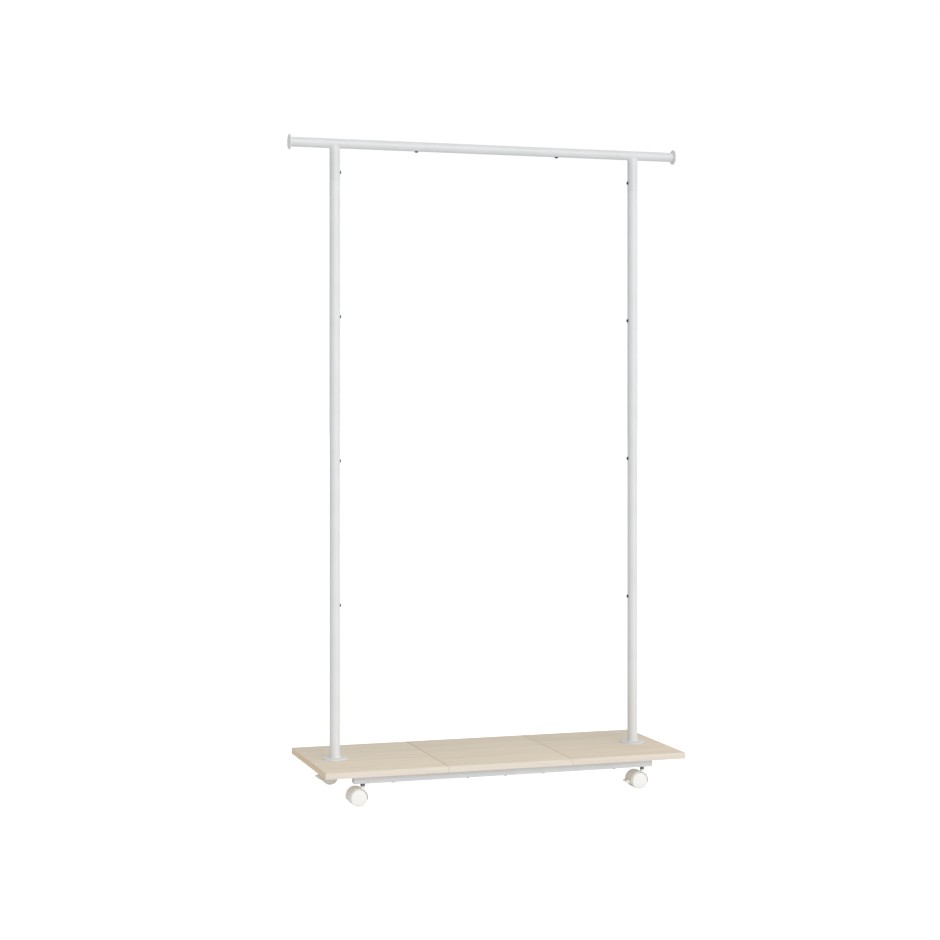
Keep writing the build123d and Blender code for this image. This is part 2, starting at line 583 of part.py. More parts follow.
def build_hood(corner, x, y, braked):
    """Moulded hood: fender over both wheels, web between them and the tower round the stem."""
    plane = front_plane(x, y)
    web_radius = (FENDER_INNER + FENDER_OUTER) / 2
    socket_bottom = STEM_BOTTOM - JOINT_CLEARANCE
    with BuildPart() as hood:
        fender = ring_sector(plane, FENDER_INNER, FENDER_OUTER, FENDER_START, FENDER_END)
        extrude(fender, amount=FENDER_HALF_WIDTH, both=True)
        rims = hood.edges().filter_by(GeomType.CIRCLE).group_by(SortBy.RADIUS)[-1]
        fillet(rims, (FENDER_OUTER - FENDER_INNER) * 0.6)
        with BuildSketch(plane):
            with BuildLine():
                ThreePointArc(
                    on_circle(web_radius, FENDER_START),
                    on_circle(web_radius, (FENDER_START + FENDER_END) / 2),
                    on_circle(web_radius, FENDER_END),
                )
                Line(on_circle(web_radius, FENDER_END), on_circle(web_radius, FENDER_START))
            make_face()
            with Locations(AXLE):
                Circle(WHEEL_HUB_RADIUS)
        extrude(amount=WEB_HALF_WIDTH, both=True)
        groove = ring_sector(
            plane, FENDER_OUTER - HOOD_GROOVE_DEPTH, FENDER_OUTER + 1, FENDER_START - 5, FENDER_END + 5
        )
        extrude(groove, amount=HOOD_GROOVE_HALF_WIDTH, both=True, mode=Mode.SUBTRACT)
        with BuildSketch(Plane(origin=(x, y, AXLE[1]))):
            Circle(TOWER_RADIUS)
        extrude(amount=TOWER_TOP - AXLE[1])
        chamfer(hood.faces().sort_by(Axis.Z)[-1].edges(), TOWER_CHAMFER)
        with BuildSketch(Plane(origin=(x, y, socket_bottom))):
            Circle(STEM_RADIUS + RUNNING_CLEARANCE)
        extrude(amount=TOWER_TOP - socket_bottom, mode=Mode.SUBTRACT)
        with BuildSketch(Plane(origin=(x, y, STEM_BEAD_Z - 3 * JOINT_CLEARANCE))):
            Circle(STEM_BEAD_RADIUS + JOINT_CLEARANCE)
        extrude(amount=STEM_BEAD_HEIGHT + 6 * JOINT_CLEARANCE, mode=Mode.SUBTRACT)
        with BuildSketch(plane):
            with Locations(AXLE):
                Circle(AXLE_RADIUS)
        extrude(amount=WEB_HALF_WIDTH + 1, both=True, mode=Mode.SUBTRACT)
        if braked:
            with BuildSketch(plane):
                with Locations((BRAKE_SLOT_X - WHEEL_RADIUS, AXLE[1] + 5)):
                    Rectangle(2 * WHEEL_RADIUS, 50)
            extrude(amount=BRAKE_SLOT_HALF_WIDTH, both=True, mode=Mode.SUBTRACT)
            pocket = ring_sector(plane, WHEEL_RADIUS - 0.3, FENDER_OUTER + 2, *BRAKE_POCKET_ANGLES)
            pocket_half_width = BRAKE_PEDAL_HALF_WIDTH + BRAKE_POCKET_CLEARANCE
            extrude(pocket, amount=pocket_half_width, both=True, mode=Mode.SUBTRACT)
            with BuildSketch(plane):
                with Locations(BRAKE_PIVOT):
                    Circle(BRAKE_PIN_RADIUS)
            extrude(amount=WEB_HALF_WIDTH + 1, both=True, mode=Mode.SUBTRACT)
    hood.part.label = f"caster_{corner}_hood"
    export_step(hood.part, f"parts/caster_{corner}_hood.step")


def build_axle(corner, x, y):
    """Steel axle pressed through the hood's web."""
    with BuildPart() as axle:
        with BuildSketch(front_plane(x, y)):
            with Locations(AXLE):
                Circle(AXLE_RADIUS)
        extrude(amount=WHEEL_OUTER - WHEEL_DISC + 0.6, both=True)
        chamfer(axle.edges().filter_by(GeomType.CIRCLE), 0.4)
    axle.part.label = f"caster_{corner}_axle"
    export_step(axle.part, f"parts/caster_{corner}_axle.step")


def build_wheel(corner, x, y, position, outward):
    """Moulded wheel: closed outer disc with a rim ring, hollow and ribbed on its inner side."""
    centre = (x + AXLE[0], y, AXLE[1])
    profile_plane = Plane(origin=centre, x_dir=(0, 0, 1), z_dir=(-outward, 0, 0))
    bore = AXLE_RADIUS + RUNNING_CLEARANCE
    disc_back = WHEEL_OUTER - WHEEL_DISC
    rim_inner = WHEEL_RADIUS - WHEEL_RIM
    edge = 1.6
    with BuildPart() as wheel:
        with BuildSketch(profile_plane):
            with BuildLine():
                Polyline(
                    (0, WHEEL_OUTER + WHEEL_DOME),
                    (0, disc_back + 1.2),
                    (bore, disc_back + 1.2),
                    (bore, WHEEL_INNER),
                    (WHEEL_HUB_RADIUS, WHEEL_INNER),
                    (WHEEL_HUB_RADIUS, disc_back),
                    (rim_inner, disc_back),
                    (rim_inner, WHEEL_INNER + 0.6),
                    (WHEEL_RADIUS - 0.8, WHEEL_INNER + 0.6),
                    (WHEEL_RADIUS, WHEEL_INNER + 1.4),
                    (WHEEL_RADIUS, WHEEL_OUTER - edge),
                )
                ThreePointArc(
                    (WHEEL_RADIUS, WHEEL_OUTER - edge),
                    (WHEEL_RADIUS - edge * 0.29, WHEEL_OUTER - edge * 0.29),
                    (WHEEL_RADIUS - edge, WHEEL_OUTER),
                )
                Polyline(
                    (WHEEL_RADIUS - edge, WHEEL_OUTER),
                    (rim_inner + 0.6, WHEEL_OUTER),
                    (rim_inner + 0.3, WHEEL_OUTER - 0.5),
                    (rim_inner - 0.3, WHEEL_OUTER - 0.5),
                    (rim_inner - 0.6, WHEEL_OUTER),
                )
                dome_rim = rim_inner - 0.6
                ThreePointArc(
                    (dome_rim, WHEEL_OUTER),
                    (dome_rim / 2, WHEEL_OUTER + dome_height(dome_rim, WHEEL_DOME, dome_rim / 2)),
                    (0, WHEEL_OUTER + WHEEL_DOME),
                )
            make_face()
        revolve(axis=Axis(centre, (0, outward, 0)))
        rib_plane = Plane(origin=(centre[0], y + outward * (disc_back + 0.1), centre[2]), z_dir=(0, outward, 0))
        with BuildSketch(rib_plane):
            with PolarLocations((WHEEL_HUB_RADIUS + rim_inner) / 2, WHEEL_RIBS):
                Rectangle(rim_inner - WHEEL_HUB_RADIUS + 0.6, 1.4)
        extrude(amount=-(disc_back - WHEEL_INNER - 1.5))
    wheel.part.label = f"caster_{corner}_wheel_{position}"
    export_step(wheel.part, f"parts/caster_{corner}_wheel_{position}.step")


def build_brake(corner, x, y):
    """Brake lever: an arm on a pin in the hood's slot, with a pedal that presses on both treads."""
    plane = front_plane(x, y)
    tread_centre = turned(AXLE, BRAKE_PIVOT, -BRAKE_TRAVEL)
    arm_outline = [on_circle(FENDER_OUTER, angle) for angle in BRAKE_ARM_ANGLES]
    (root_x, root_z), (tip_x, tip_z) = PEDAL_TOP
    with BuildPart() as lever:
        with BuildSketch(plane):
            with BuildLine():
                ThreePointArc(*arm_outline)
                Polyline(arm_outline[-1], *BRAKE_ARM_FOOT, *BRAKE_ARM_BACK, arm_outline[0])
            make_face()
        extrude(amount=BRAKE_ARM_HALF_WIDTH, both=True)
        with BuildSketch(plane):
            Polygon(*PEDAL_TOP, *PEDAL_BOTTOM, align=None)
            with Locations(tread_centre):
                Circle(BRAKE_SHOE_RADIUS, mode=Mode.SUBTRACT)
        extrude(amount=BRAKE_PEDAL_HALF_WIDTH, both=True)
        tip_edges = lever.edges().filter_by(Axis.Y).sort_by(Axis.X)[:2]
        fillet(tip_edges, PEDAL_TIP_RADIUS)
        slope = (tip_z - root_z) / (tip_x - root_x)
        with BuildSketch(plane):
            for n in range(PEDAL_RIBS):
                rib_x = PEDAL_RIB_START - PEDAL_RIB_PITCH * n
                with Locations((rib_x, root_z + slope * (rib_x - root_x))):
                    Circle(PEDAL_RIB_RADIUS)
        extrude(amount=BRAKE_PEDAL_HALF_WIDTH - 2, both=True)
        with BuildSketch(plane):
            with Locations(BRAKE_PIVOT):
                Circle(BRAKE_PIN_RADIUS + RUNNING_CLEARANCE)
        extrude(amount=BRAKE_ARM_HALF_WIDTH, both=True, mode=Mode.SUBTRACT)
    lever.part.label = f"caster_{corner}_brake_lever"
    export_step(lever.part, f"parts/caster_{corner}_brake_lever.step")

    with BuildPart() as pin:
        with BuildSketch(plane):
            with Locations(BRAKE_PIVOT):
                Circle(BRAKE_PIN_RADIUS)
        extrude(amount=WEB_HALF_WIDTH, both=True)
    pin.part.label = f"caster_{corner}_brake_pin"
    export_step(pin.part, f"parts/caster_{corner}_brake_pin.step")


for corner, (x, y, braked) in CORNERS.items():
    build_stem(corner, x, y)
    build_hood(corner, x, y, braked)
    build_axle(corner, x, y)
    build_wheel(corner, x, y, "front", -1)
    build_wheel(corner, x, y, "rear", 1)
    if braked:
        build_brake(corner, x, y)
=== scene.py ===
import logging
import math
from collections.abc import Callable, Iterator
from contextlib import contextmanager
from dataclasses import dataclass, field
from enum import Enum
from functools import cache

import bmesh
import bpy
from mathutils import Matrix, Vector


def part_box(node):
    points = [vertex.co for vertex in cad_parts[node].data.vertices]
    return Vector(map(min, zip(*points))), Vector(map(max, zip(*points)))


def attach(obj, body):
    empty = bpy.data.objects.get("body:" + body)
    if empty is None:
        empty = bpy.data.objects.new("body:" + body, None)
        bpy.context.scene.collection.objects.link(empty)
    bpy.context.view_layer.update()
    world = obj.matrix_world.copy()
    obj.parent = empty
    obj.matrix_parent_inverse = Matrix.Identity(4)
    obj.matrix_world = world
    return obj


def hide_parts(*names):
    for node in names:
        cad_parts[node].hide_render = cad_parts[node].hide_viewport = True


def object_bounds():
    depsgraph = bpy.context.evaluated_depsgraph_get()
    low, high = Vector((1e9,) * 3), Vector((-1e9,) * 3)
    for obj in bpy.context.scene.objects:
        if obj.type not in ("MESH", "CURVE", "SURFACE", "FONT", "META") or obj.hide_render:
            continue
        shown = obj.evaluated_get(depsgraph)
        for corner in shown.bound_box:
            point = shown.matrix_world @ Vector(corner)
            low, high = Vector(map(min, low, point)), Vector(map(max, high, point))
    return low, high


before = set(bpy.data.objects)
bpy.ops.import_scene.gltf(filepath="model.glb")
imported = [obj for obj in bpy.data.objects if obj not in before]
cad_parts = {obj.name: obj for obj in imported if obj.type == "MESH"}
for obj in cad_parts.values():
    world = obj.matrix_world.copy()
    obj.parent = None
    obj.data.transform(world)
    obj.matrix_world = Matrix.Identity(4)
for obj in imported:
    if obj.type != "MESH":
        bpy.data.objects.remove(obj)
CAD_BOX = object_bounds()

log = logging.getLogger("clothes_rack")

MM = 0.001
SMOOTH_UP_TO = math.radians(32)
QUARTER_ABOUT_Y = (0, math.pi / 2, 0)
UP = Vector((0, 0, 1))
DOWN = Vector((0, 0, -1))
X, Y, Z = range(3)
# Least share of a direction that has to lie along an axis, for an edge and for a face.
ALONG = 0.9
FACING = 0.99
WHITE = (1.0, 1.0, 1.0, 1.0)
Piece = bpy.types.Object
Material = bpy.types.Material
Tree = bpy.types.NodeTree
Signal = bpy.types.NodeSocket
Outputs = bpy.types.NodeOutputs
Inputs = bpy.types.NodeInputs
Span = tuple[float, float]
Triple = tuple[float, float, float]
Colour = tuple[float, float, float, float]
Profile = list[Span]
Choice = Callable[[Vector, Vector], bool]
Value = Signal | float | Colour | Triple


class Way(Enum):
    """A direction on the rack, with the sign of its x or y."""

    @property
    def word(self) -> str:
        """Name as it is used in node names."""
        return self.name.lower()

    @property
    def axis(self) -> int:
        """Number of the axis that it counts along."""
        return Y if isinstance(self, Row) else X

    def end(self, low: Vector, high: Vector) -> float:
        """Outermost x or y of a box on this side."""
        return (high if self.value > 0 else low)[self.axis]


class Side(Way):
    """Left or right of the rack."""

    LEFT = -1
    RIGHT = 1


class Row(Way):
    """Front or rear of the rack."""

    FRONT = -1
    REAR = 1


class Socket(Enum):
    """Kinds of socket that an effect group has."""

    VALUE = "NodeSocketFloat"
    VECTOR = "NodeSocketVector"


class Cut(Enum):
    """Ways to combine a piece with a tool mesh."""

    ADD = "UNION"
    REMOVE = "DIFFERENCE"
    KEEP = "INTERSECT"


def shade(red: float, green: float, blue: float) -> Colour:
    """Turn a colour as a paint chart gives it, 0 to 255, into linear light.

    Args:
        red: Red, 0 to 255.
        green: Green, 0 to 255.
        blue: Blue, 0 to 255.

    Returns:
        The colour for a shader socket, with an alpha of 1.
    """
    linear = [((c / 255 + 0.055) / 1.055) ** 2.4 for c in (red, green, blue)]
    return (linear[0], linear[1], linear[2], 1.0)


def toned(colour: Colour, factor: float) -> Colour:
    """Make a colour paler or darker, with white as the limit."""
    return tuple(min(1.0, c * factor) for c in colour[:3]) + (1.0,)


# ---------------------------------------------------------------- modelling bench


class Bench:
    """Modelling bench: one mesh at a time, shaped with Blender's own operators."""

    @staticmethod
    def clear() -> None:
        """Leave edit mode and deselect everything."""
        if bpy.context.mode != "OBJECT":
            bpy.ops.object.mode_set(mode="OBJECT")
        bpy.ops.object.select_all(action="DESELECT")

    @staticmethod
    def activate(*pieces: Piece) -> None:
        """Select only these pieces and make the first one active."""
        Bench.clear()
        for piece in pieces:
            piece.select_set(True)
        bpy.context.view_layer.objects.active = pieces[0]

    @staticmethod
    @contextmanager
    def editing(piece: Piece, mode: str = "FACE") -> Iterator[None]:
        """Hold a piece in edit mode, in vertex, edge or face selection."""
        Bench.activate(piece)
        bpy.ops.object.mode_set(mode="EDIT")
        bpy.ops.mesh.select_mode(type=mode)
        bpy.ops.mesh.select_all(action="DESELECT")
        yield
        bpy.ops.object.mode_set(mode="OBJECT")

    @staticmethod
    def pick_faces(piece: Piece, wanted: Choice) -> None:
        """Select the faces whose middle and normal are wanted, and no others."""
        bpy.ops.mesh.select_all(action="DESELECT")
        mesh = bmesh.from_edit_mesh(piece.data)
        for face in mesh.faces:
            if wanted(face.calc_center_median(), face.normal):
                face.select_set(True)
        bmesh.update_edit_mesh(piece.data)

    @staticmethod
    def pick_edges(piece: Piece, wanted: Choice) -> None:
        """Select the edges whose middle and direction are wanted, and no others."""
        bpy.ops.mesh.select_all(action="DESELECT")
        mesh = bmesh.from_edit_mesh(piece.data)
        for edge in mesh.edges:
            start, end = (vertex.co for vertex in edge.verts)
            if wanted((start + end) / 2, (end - start).normalized()):
                edge.select_set(True)
        bmesh.update_edit_mesh(piece.data)

    @staticmethod
    def block(low: Vector, high: Vector) -> Piece:
        """Add a cube that fills the box from low to high, with its place in its mesh."""
        Bench.clear()
        bpy.ops.mesh.primitive_cube_add(size=1, location=(low + high) / 2, scale=high - low)
        Bench.settle()
        return bpy.context.object

    @staticmethod
    def prism(sides: int, across_flats: float, low: float, high: float) -> Piece:
        """Add an upright prism about the Z axis, with a corner on the X axis."""
        Bench.clear()
        radius = across_flats / 2 / math.cos(math.pi / sides)
        bpy.ops.mesh.primitive_cylinder_add(
            vertices=sides,
            radius=radius,
            depth=high - low,
            location=(0, 0, (low + high) / 2),
            rotation=(0, 0, math.pi / 2),
        )
        Bench.settle()
        return bpy.context.object

    @staticmethod
    def lathe(profile: Profile, steps: int, axis: Vector = UP) -> Piece:
        """Spin a profile about an axis through the origin.

        Args:
            profile: Points as (radius, distance along the axis), in metres, from end to end.
            steps: Number of flats round the axis.
            axis: Direction in which the profile's second number counts.

        Returns:
            The turned piece, closed and with its faces outwards.
        """
        outward = UP if abs(axis.z) < 0.5 else Vector((1, 0, 0))
        points = [outward * radius + axis * along for radius, along in profile]
        Bench.clear()
        bpy.ops.mesh.primitive_plane_add(size=MM, location=points[0])
        Bench.settle()
        piece = bpy.context.object
        with Bench.editing(piece, "VERT"):
            bpy.ops.mesh.select_all(action="SELECT")
            bpy.ops.mesh.merge(type="CENTER")
            for start, end in zip(points, points[1:]):
                Bench.extrude(end - start)
            bpy.ops.mesh.select_all(action="SELECT")
            bpy.ops.mesh.spin(steps=steps, angle=2 * math.pi, center=(0, 0, 0), axis=axis)
            bpy.ops.mesh.select_all(action="SELECT")
            bpy.ops.mesh.remove_doubles(threshold=MM / 500)
            bpy.ops.mesh.normals_make_consistent(inside=False)
        return piece

    @staticmethod
    def extrude(move: Vector) -> None:
        """Extrude what is selected."""
        bpy.ops.mesh.extrude_region_move(TRANSFORM_OT_translate={"value": move})

    @staticmethod
    def settle() -> None:
        """Put the selected piece's place, turn and size into its mesh."""
        bpy.ops.object.transform_apply(location=True, rotation=True, scale=True)

    @staticmethod
    def combine(piece: Piece, tool: Piece, cut: Cut) -> None:
        """Combine a piece with a tool mesh, which is then thrown away."""
        Bench.activate(piece)
        bpy.ops.object.modifier_add(type="BOOLEAN")
        boolean = piece.modifiers[-1]
        boolean.operation = cut.value
        boolean.solver = "EXACT"
        boolean.object = tool
        bpy.ops.object.modifier_apply(modifier=boolean.name)
        Bench.discard(tool)

    @staticmethod
    def copy(piece: Piece, place: Matrix) -> Piece:
        """Copy a piece with its own mesh and put the place into that mesh."""
        Bench.activate(piece)
        bpy.ops.object.duplicate()
        twin = bpy.context.object
        twin.matrix_world = place @ twin.matrix_world
        Bench.settle()
        return twin

    @staticmethod
    def join(pieces: list[Piece]) -> Piece:
        """Join copies into one piece."""
        Bench.activate(*pieces)
        bpy.ops.object.join()
        return bpy.context.object

    @staticmethod
    def scatter(model: Piece, places: list[Matrix]) -> Piece:
        """Copy a model to each place, join the copies and throw the model away."""
        joined = Bench.join([Bench.copy(model, place) for place in places])
        Bench.discard(model)
        return joined

    @staticmethod
    def discard(piece: Piece) -> None:
        """Throw away a model that has been copied or cut with."""
        bpy.data.objects.remove(piece, do_unlink=True)

    @staticmethod
    def finish(piece: Piece, name: str) -> Piece:
        """Name a piece and smooth what is meant to be round."""
        Bench.activate(piece)
        bpy.ops.object.shade_smooth_by_angle(angle=SMOOTH_UP_TO)
        piece.name = name
        piece.data.name = name
        return piece

@dataclass(frozen=True)
class Rounding:
    """Edges of a block to round: those along one axis that lie at some marks on another."""

    run: int
    across: int
    marks: tuple[float, ...]
    radius: float
    segments: int = 4

    def wanted(self, middle: Vector, way: Vector) -> bool:
        """Tell by its middle and direction if an edge is one of them."""
        near = any(abs(middle[self.across] - mark) < MM / 10 for mark in self.marks)
        return near and abs(way[self.run]) > ALONG


def rounded_block(low: Vector, high: Vector, *roundings: Rounding) -> Piece:
    """Cut a block and round some of its edges, one set after the other."""
    block = Bench.block(low, high)
    with Bench.editing(block, "EDGE"):
        for edges in roundings:
            if edges.marks:
                Bench.pick_edges(block, edges.wanted)
                bpy.ops.mesh.bevel(offset=edges.radius, segments=edges.segments, affect="EDGES")
    return block
def arc(middle: Span, radius: float, start: float, end: float, steps: int = 6) -> Profile:
    """Points on an arc of a profile.

    Args:
        middle: Centre as (radius, distance along the axis).
        radius: Radius of the arc.
        start: First angle in degrees, counted from the radial direction.
        end: Last angle in degrees.
        steps: Number of chords.

    Returns:
        The points from start to end, both included.
    """
    turns = [math.radians(start + (end - start) * n / steps) for n in range(steps + 1)]
    return [(middle[0] + radius * math.cos(t), middle[1] + radius * math.sin(t)) for t in turns]


def in_millimetres(profile: Profile) -> Profile:
    """Turn a profile that is written in millimetres into metres."""
    return [(radius * MM, along * MM) for radius, along in profile]


def facing(place: Vector, direction: Vector) -> Matrix:
    """Matrix that moves the origin to a place and turns +Z to a direction."""
    return Matrix.Translation(place) @ UP.rotation_difference(direction).to_matrix().to_4x4()


# ---------------------------------------------------------------- shader helpers


@dataclass(frozen=True)
class Pattern:
    """Soft noise, or a mask made of it.

    The coordinates are stretched first and then scaled, in features per metre. With low and high,
    the noise becomes a mask that rises from 0 to 1 between those two values.
    """

    scale: float = 1.0
    detail: float = 2.0
    bends: float = 0.0
    stretch: Triple | None = None
    low: float | None = None
    high: float = 1.0


class Graph:
    """Adds and wires the nodes of one material or one effect group."""

    def __init__(self, tree: Tree) -> None:
        """Keep the tree that the nodes go in."""
        self.tree = tree

    def feed(self, target: Signal, value: Value) -> None:
        """Wire a socket to a target, or set the target's own value."""
        if isinstance(value, Signal):
            self.tree.links.new(value, target)
        else:
            target.default_value = value

    def node(
        self, kind: str, inputs: dict[str | int, Value] | None = None, **settings
    ) -> bpy.types.Node:
        """Add a node.

        Args:
            kind: Blender's type name, without its ShaderNode prefix.
            inputs: Values or sockets for its inputs, by name or number.
            **settings: The node's own settings.

        Returns:
            The new node.
        """
        node = self.tree.nodes.new("ShaderNode" + kind)
        for key, setting in settings.items():
            setattr(node, key, setting)
        for key, value in (inputs or {}).items():
            self.feed(node.inputs[key], value)
        return node

    def place(self) -> Signal:
        """Object coordinates, in metres."""
        return self.node("TexCoord").outputs["Object"]

    def stretch(
        self,
        vector: Signal,
        scale: Triple = (1, 1, 1),
        shift: Triple = (0, 0, 0),
        turn: Triple = (0, 0, 0),
    ) -> Signal:
        """Scale, then turn, then shift a pattern's coordinates."""
        inputs = {"Vector": vector, "Scale": scale, "Location": shift, "Rotation": turn}
        return self.node("Mapping", inputs).outputs["Vector"]

    def noise(self, vector: Signal, scale: Value, detail: float, bends: float = 0.0) -> Signal:
        """Soft noise from 0 to 1, with its features about 1/scale wide."""
        inputs = {"Vector": vector, "Scale": scale, "Detail": detail, "Distortion": bends}
        return self.node("TexNoise", inputs).outputs["Fac"]

    def pattern(self, vector: Signal, look: Pattern, out: Span = (0.0, 1.0)) -> Signal:
        """Noise of a pattern, or its mask, given out as out's two numbers."""
        if look.stretch is not None:
            vector = self.stretch(vector, look.stretch)
        noise = self.noise(vector, look.scale, look.detail, look.bends)
        return noise if look.low is None else self.ramp(noise, look.low, look.high, out)

    def maths(self, operation: str, first: Value, second: Value = 0.0) -> Signal:
        """One step of arithmetic."""
        return self.node("Math", {0: first, 1: second}, operation=operation).outputs[0]

    def plus(self, first: Value, *others: Value) -> Signal:
        """Sum of two or more values."""
        for other in others:
            first = self.maths("ADD", first, other)
        return first

    def times(self, first: Value, *others: Value) -> Signal:
        """Product of two or more values."""
        for other in others:
            first = self.maths("MULTIPLY", first, other)
        return first

    def ramp(self, value: Signal, low: Value, high: Value, out: Span = (0.0, 1.0)) -> Signal:
        """Smooth step of a value between low and high, given out as out's two numbers."""
        limits = {"From Min": low, "From Max": high, "To Min": out[0], "To Max": out[1]}
        inputs = {"Value": value} | limits
        return self.node("MapRange", inputs, interpolation_type="SMOOTHSTEP").outputs["Result"]

    def mix(self, factor: Value, first: Value, second: Value) -> Signal:
        """Colour between two colours."""
        inputs = {0: factor, 6: first, 7: second}
        return self.node("Mix", inputs, data_type="RGBA").outputs[2]

    def axis(self, vector: Signal, name: str) -> Signal:
        """X, Y or Z of a vector."""
        return self.node("SeparateXYZ", {0: vector}).outputs[name]

    def bump(self, height: Signal, depth: float, strength: float = 1.0) -> Signal:
        """Normal of a surface with a small relief of that depth, in metres."""
        inputs = {"Height": height, "Distance": depth, "Strength": strength}
        return self.node("Bump", inputs).outputs["Normal"]

    def vector_maths(self, operation: str, *vectors: Value) -> Outputs:
        """One step of vector arithmetic, as its vector and value outputs."""
        return self.node("VectorMath", dict(enumerate(vectors)), operation=operation).outputs

    def effect(self, group: Tree, vector: Signal, **inputs: Value) -> Outputs:
        """Place an effect group with its own values and return its outputs."""
        node = self.node("Group", node_tree=group)
        for key, value in ({"Vector": vector} | inputs).items():
            self.feed(node.inputs[key], value)
        return node.outputs


def start_group(
    name: str, settings: dict[str, float], outputs: list[str]
) -> tuple[Tree, Graph, Outputs, Inputs]:
    """Make an empty effect group, whose first input is the vector that it is drawn on.

    Args:
        name: The group's name.
        settings: Its other inputs, which are all values, with their defaults.
        outputs: Names of its outputs, which are all values.

    Returns:
        The group, a graph to build it with, what comes in and where the results go.
    """
    group = bpy.data.node_groups.new(name, "ShaderNodeTree")
    add = group.interface.new_socket
    add(name="Vector", in_out="INPUT", socket_type=Socket.VECTOR.value)
    for label, default in settings.items():
        add(name=label, in_out="INPUT", socket_type=Socket.VALUE.value).default_value = default
    for label in outputs:
        add(name=label, in_out="OUTPUT", socket_type=Socket.VALUE.value)
    given = group.nodes.new("NodeGroupInput").outputs
    results = group.nodes.new("NodeGroupOutput").inputs
    return group, Graph(group), given, results

def start_material(name: str) -> tuple[Material, Graph, Inputs]:
    """Make a material with one Principled shader.

    Args:
        name: The material's name.

    Returns:
        The material, a graph to build it with and the shader's inputs.
    """
    material = bpy.data.materials.new(name)
    material.use_nodes = True
    material.node_tree.nodes.clear()
    graph = Graph(material.node_tree)
    shader = graph.node("BsdfPrincipled")
    graph.node("OutputMaterial", {"Surface": shader.outputs["BSDF"]})
    return material, graph, shader.inputs


# ---------------------------------------------------------------- effects that finishes share

EDGE_PATCHES = Pattern(scale=90.0, detail=3.0, low=0.38, high=0.62)
GLOSS_CLOUDS = Pattern(scale=14.0, detail=3.0, low=0.35, high=0.65)
HAIRLINES = Pattern(detail=2.0, bends=0.4, stretch=(1400, 1400, 60), low=0.60, high=0.70)
DUST_SPECKS = Pattern(scale=420.0, detail=4.0, low=0.35, high=0.75)
FLOW_LINES = Pattern(scale=60.0, detail=3.0, bends=1.2, stretch=(1.0, 0.4, 2.2), low=0.3, high=0.7)
LANES = Pattern(detail=1.5, bends=0.7, stretch=(2.4, 46, 46), low=0.25, high=0.75)
STREAKS = Pattern(detail=3.0, bends=0.6, stretch=(9.0, 230, 230), low=0.25, high=0.75)
FIBRES = Pattern(detail=2.0, stretch=(34, 1300, 1300))
FLECKS = Pattern(detail=1.0, stretch=(75, 900, 900), low=0.66, high=0.76)
RUBBED_RINGS = Pattern(detail=3.0, stretch=(900, 25, 25), low=0.56, high=0.68)
RUBBED_PATCHES = Pattern(detail=2.0, stretch=(11, 1, 1), low=0.42, high=0.62)
BACKING_PAPER = Pattern(scale=240.0, detail=4.0)
TREAD_SMUDGES = Pattern(scale=260.0, detail=4.0, stretch=(1, 0.35, 1), low=0.34, high=0.70)
SPANGLE = Pattern(scale=900.0, detail=4.0)
TOOL_MARKS = Pattern(detail=1.0, stretch=(300, 300, 5200))
FLOOR_CLOUDS = Pattern(scale=3.0, detail=3.0)


@cache
def edge_wear_and_shade() -> Tree:
    """Build the group that finds sharp edges, in patches, for wear, for thin paint and for painted
    edge shade.
    """
    group, graph, given, results = start_group("edge_wear_and_shade", {"Radius": 0.5 * MM}, ["Mask"])
    rounded = graph.node("Bevel", {"Radius": given["Radius"]}, samples=4).outputs[0]
    flat = graph.node("NewGeometry").outputs["Normal"]
    likeness = graph.vector_maths("DOT_PRODUCT", rounded, flat)["Value"]
    edge = graph.ramp(likeness, low=0.99, high=0.86)
    graph.feed(results["Mask"], graph.times(edge, graph.pattern(given["Vector"], EDGE_PATCHES)))
    return group


@cache
def powder_skin() -> Tree:
    """Build the group of baked powder paint: orange peel, and slow changes of gloss."""
    settings = {"Peel per metre": 620.0}
    group, graph, given, results = start_group("powder_skin", settings, ["Peel", "Cloud"])
    peel = graph.noise(given["Vector"], given["Peel per metre"], detail=2.0)
    graph.feed(results["Peel"], peel)
    graph.feed(results["Cloud"], graph.pattern(given["Vector"], GLOSS_CLOUDS))
    return group


@cache
def handling_marks() -> Tree:
    """Build the group of fine hairline marks that come in patches, along the vector's Z."""
    group, graph, given, results = start_group("handling_marks", {"Patchiness": 0.52}, ["Mask"])
    patchiness = given["Patchiness"]
    clouds = graph.noise(given["Vector"], scale=9.0, detail=2.0)
    patches = graph.ramp(clouds, patchiness, graph.plus(patchiness, 0.12))
    graph.feed(results["Mask"], graph.times(graph.pattern(given["Vector"], HAIRLINES), patches))
    return group


@cache
def settled_dust() -> Tree:
    """Build the group of dust that lies thicker near the floor."""
    group, graph, given, results = start_group("settled_dust", {"Height": 0.06}, ["Mask"])
    low = graph.ramp(graph.axis(given["Vector"], "Z"), given["Height"], 0.0)
    specks = graph.pattern(given["Vector"], DUST_SPECKS, out=(0.35, 1.0))
    graph.feed(results["Mask"], graph.times(low, specks))
    return group


@cache
def moulded_skin() -> Tree:
    """Build the group of moulded plastic: spark-eroded grain and faint flow lines."""
    settings = {"Grain per metre": 2600.0}
    group, graph, given, results = start_group("moulded_skin", settings, ["Grain", "Flow"])
    grain = graph.noise(given["Vector"], given["Grain per metre"], detail=3.0)
    graph.feed(results["Grain"], grain)
    graph.feed(results["Flow"], graph.pattern(given["Vector"], FLOW_LINES))
    return group


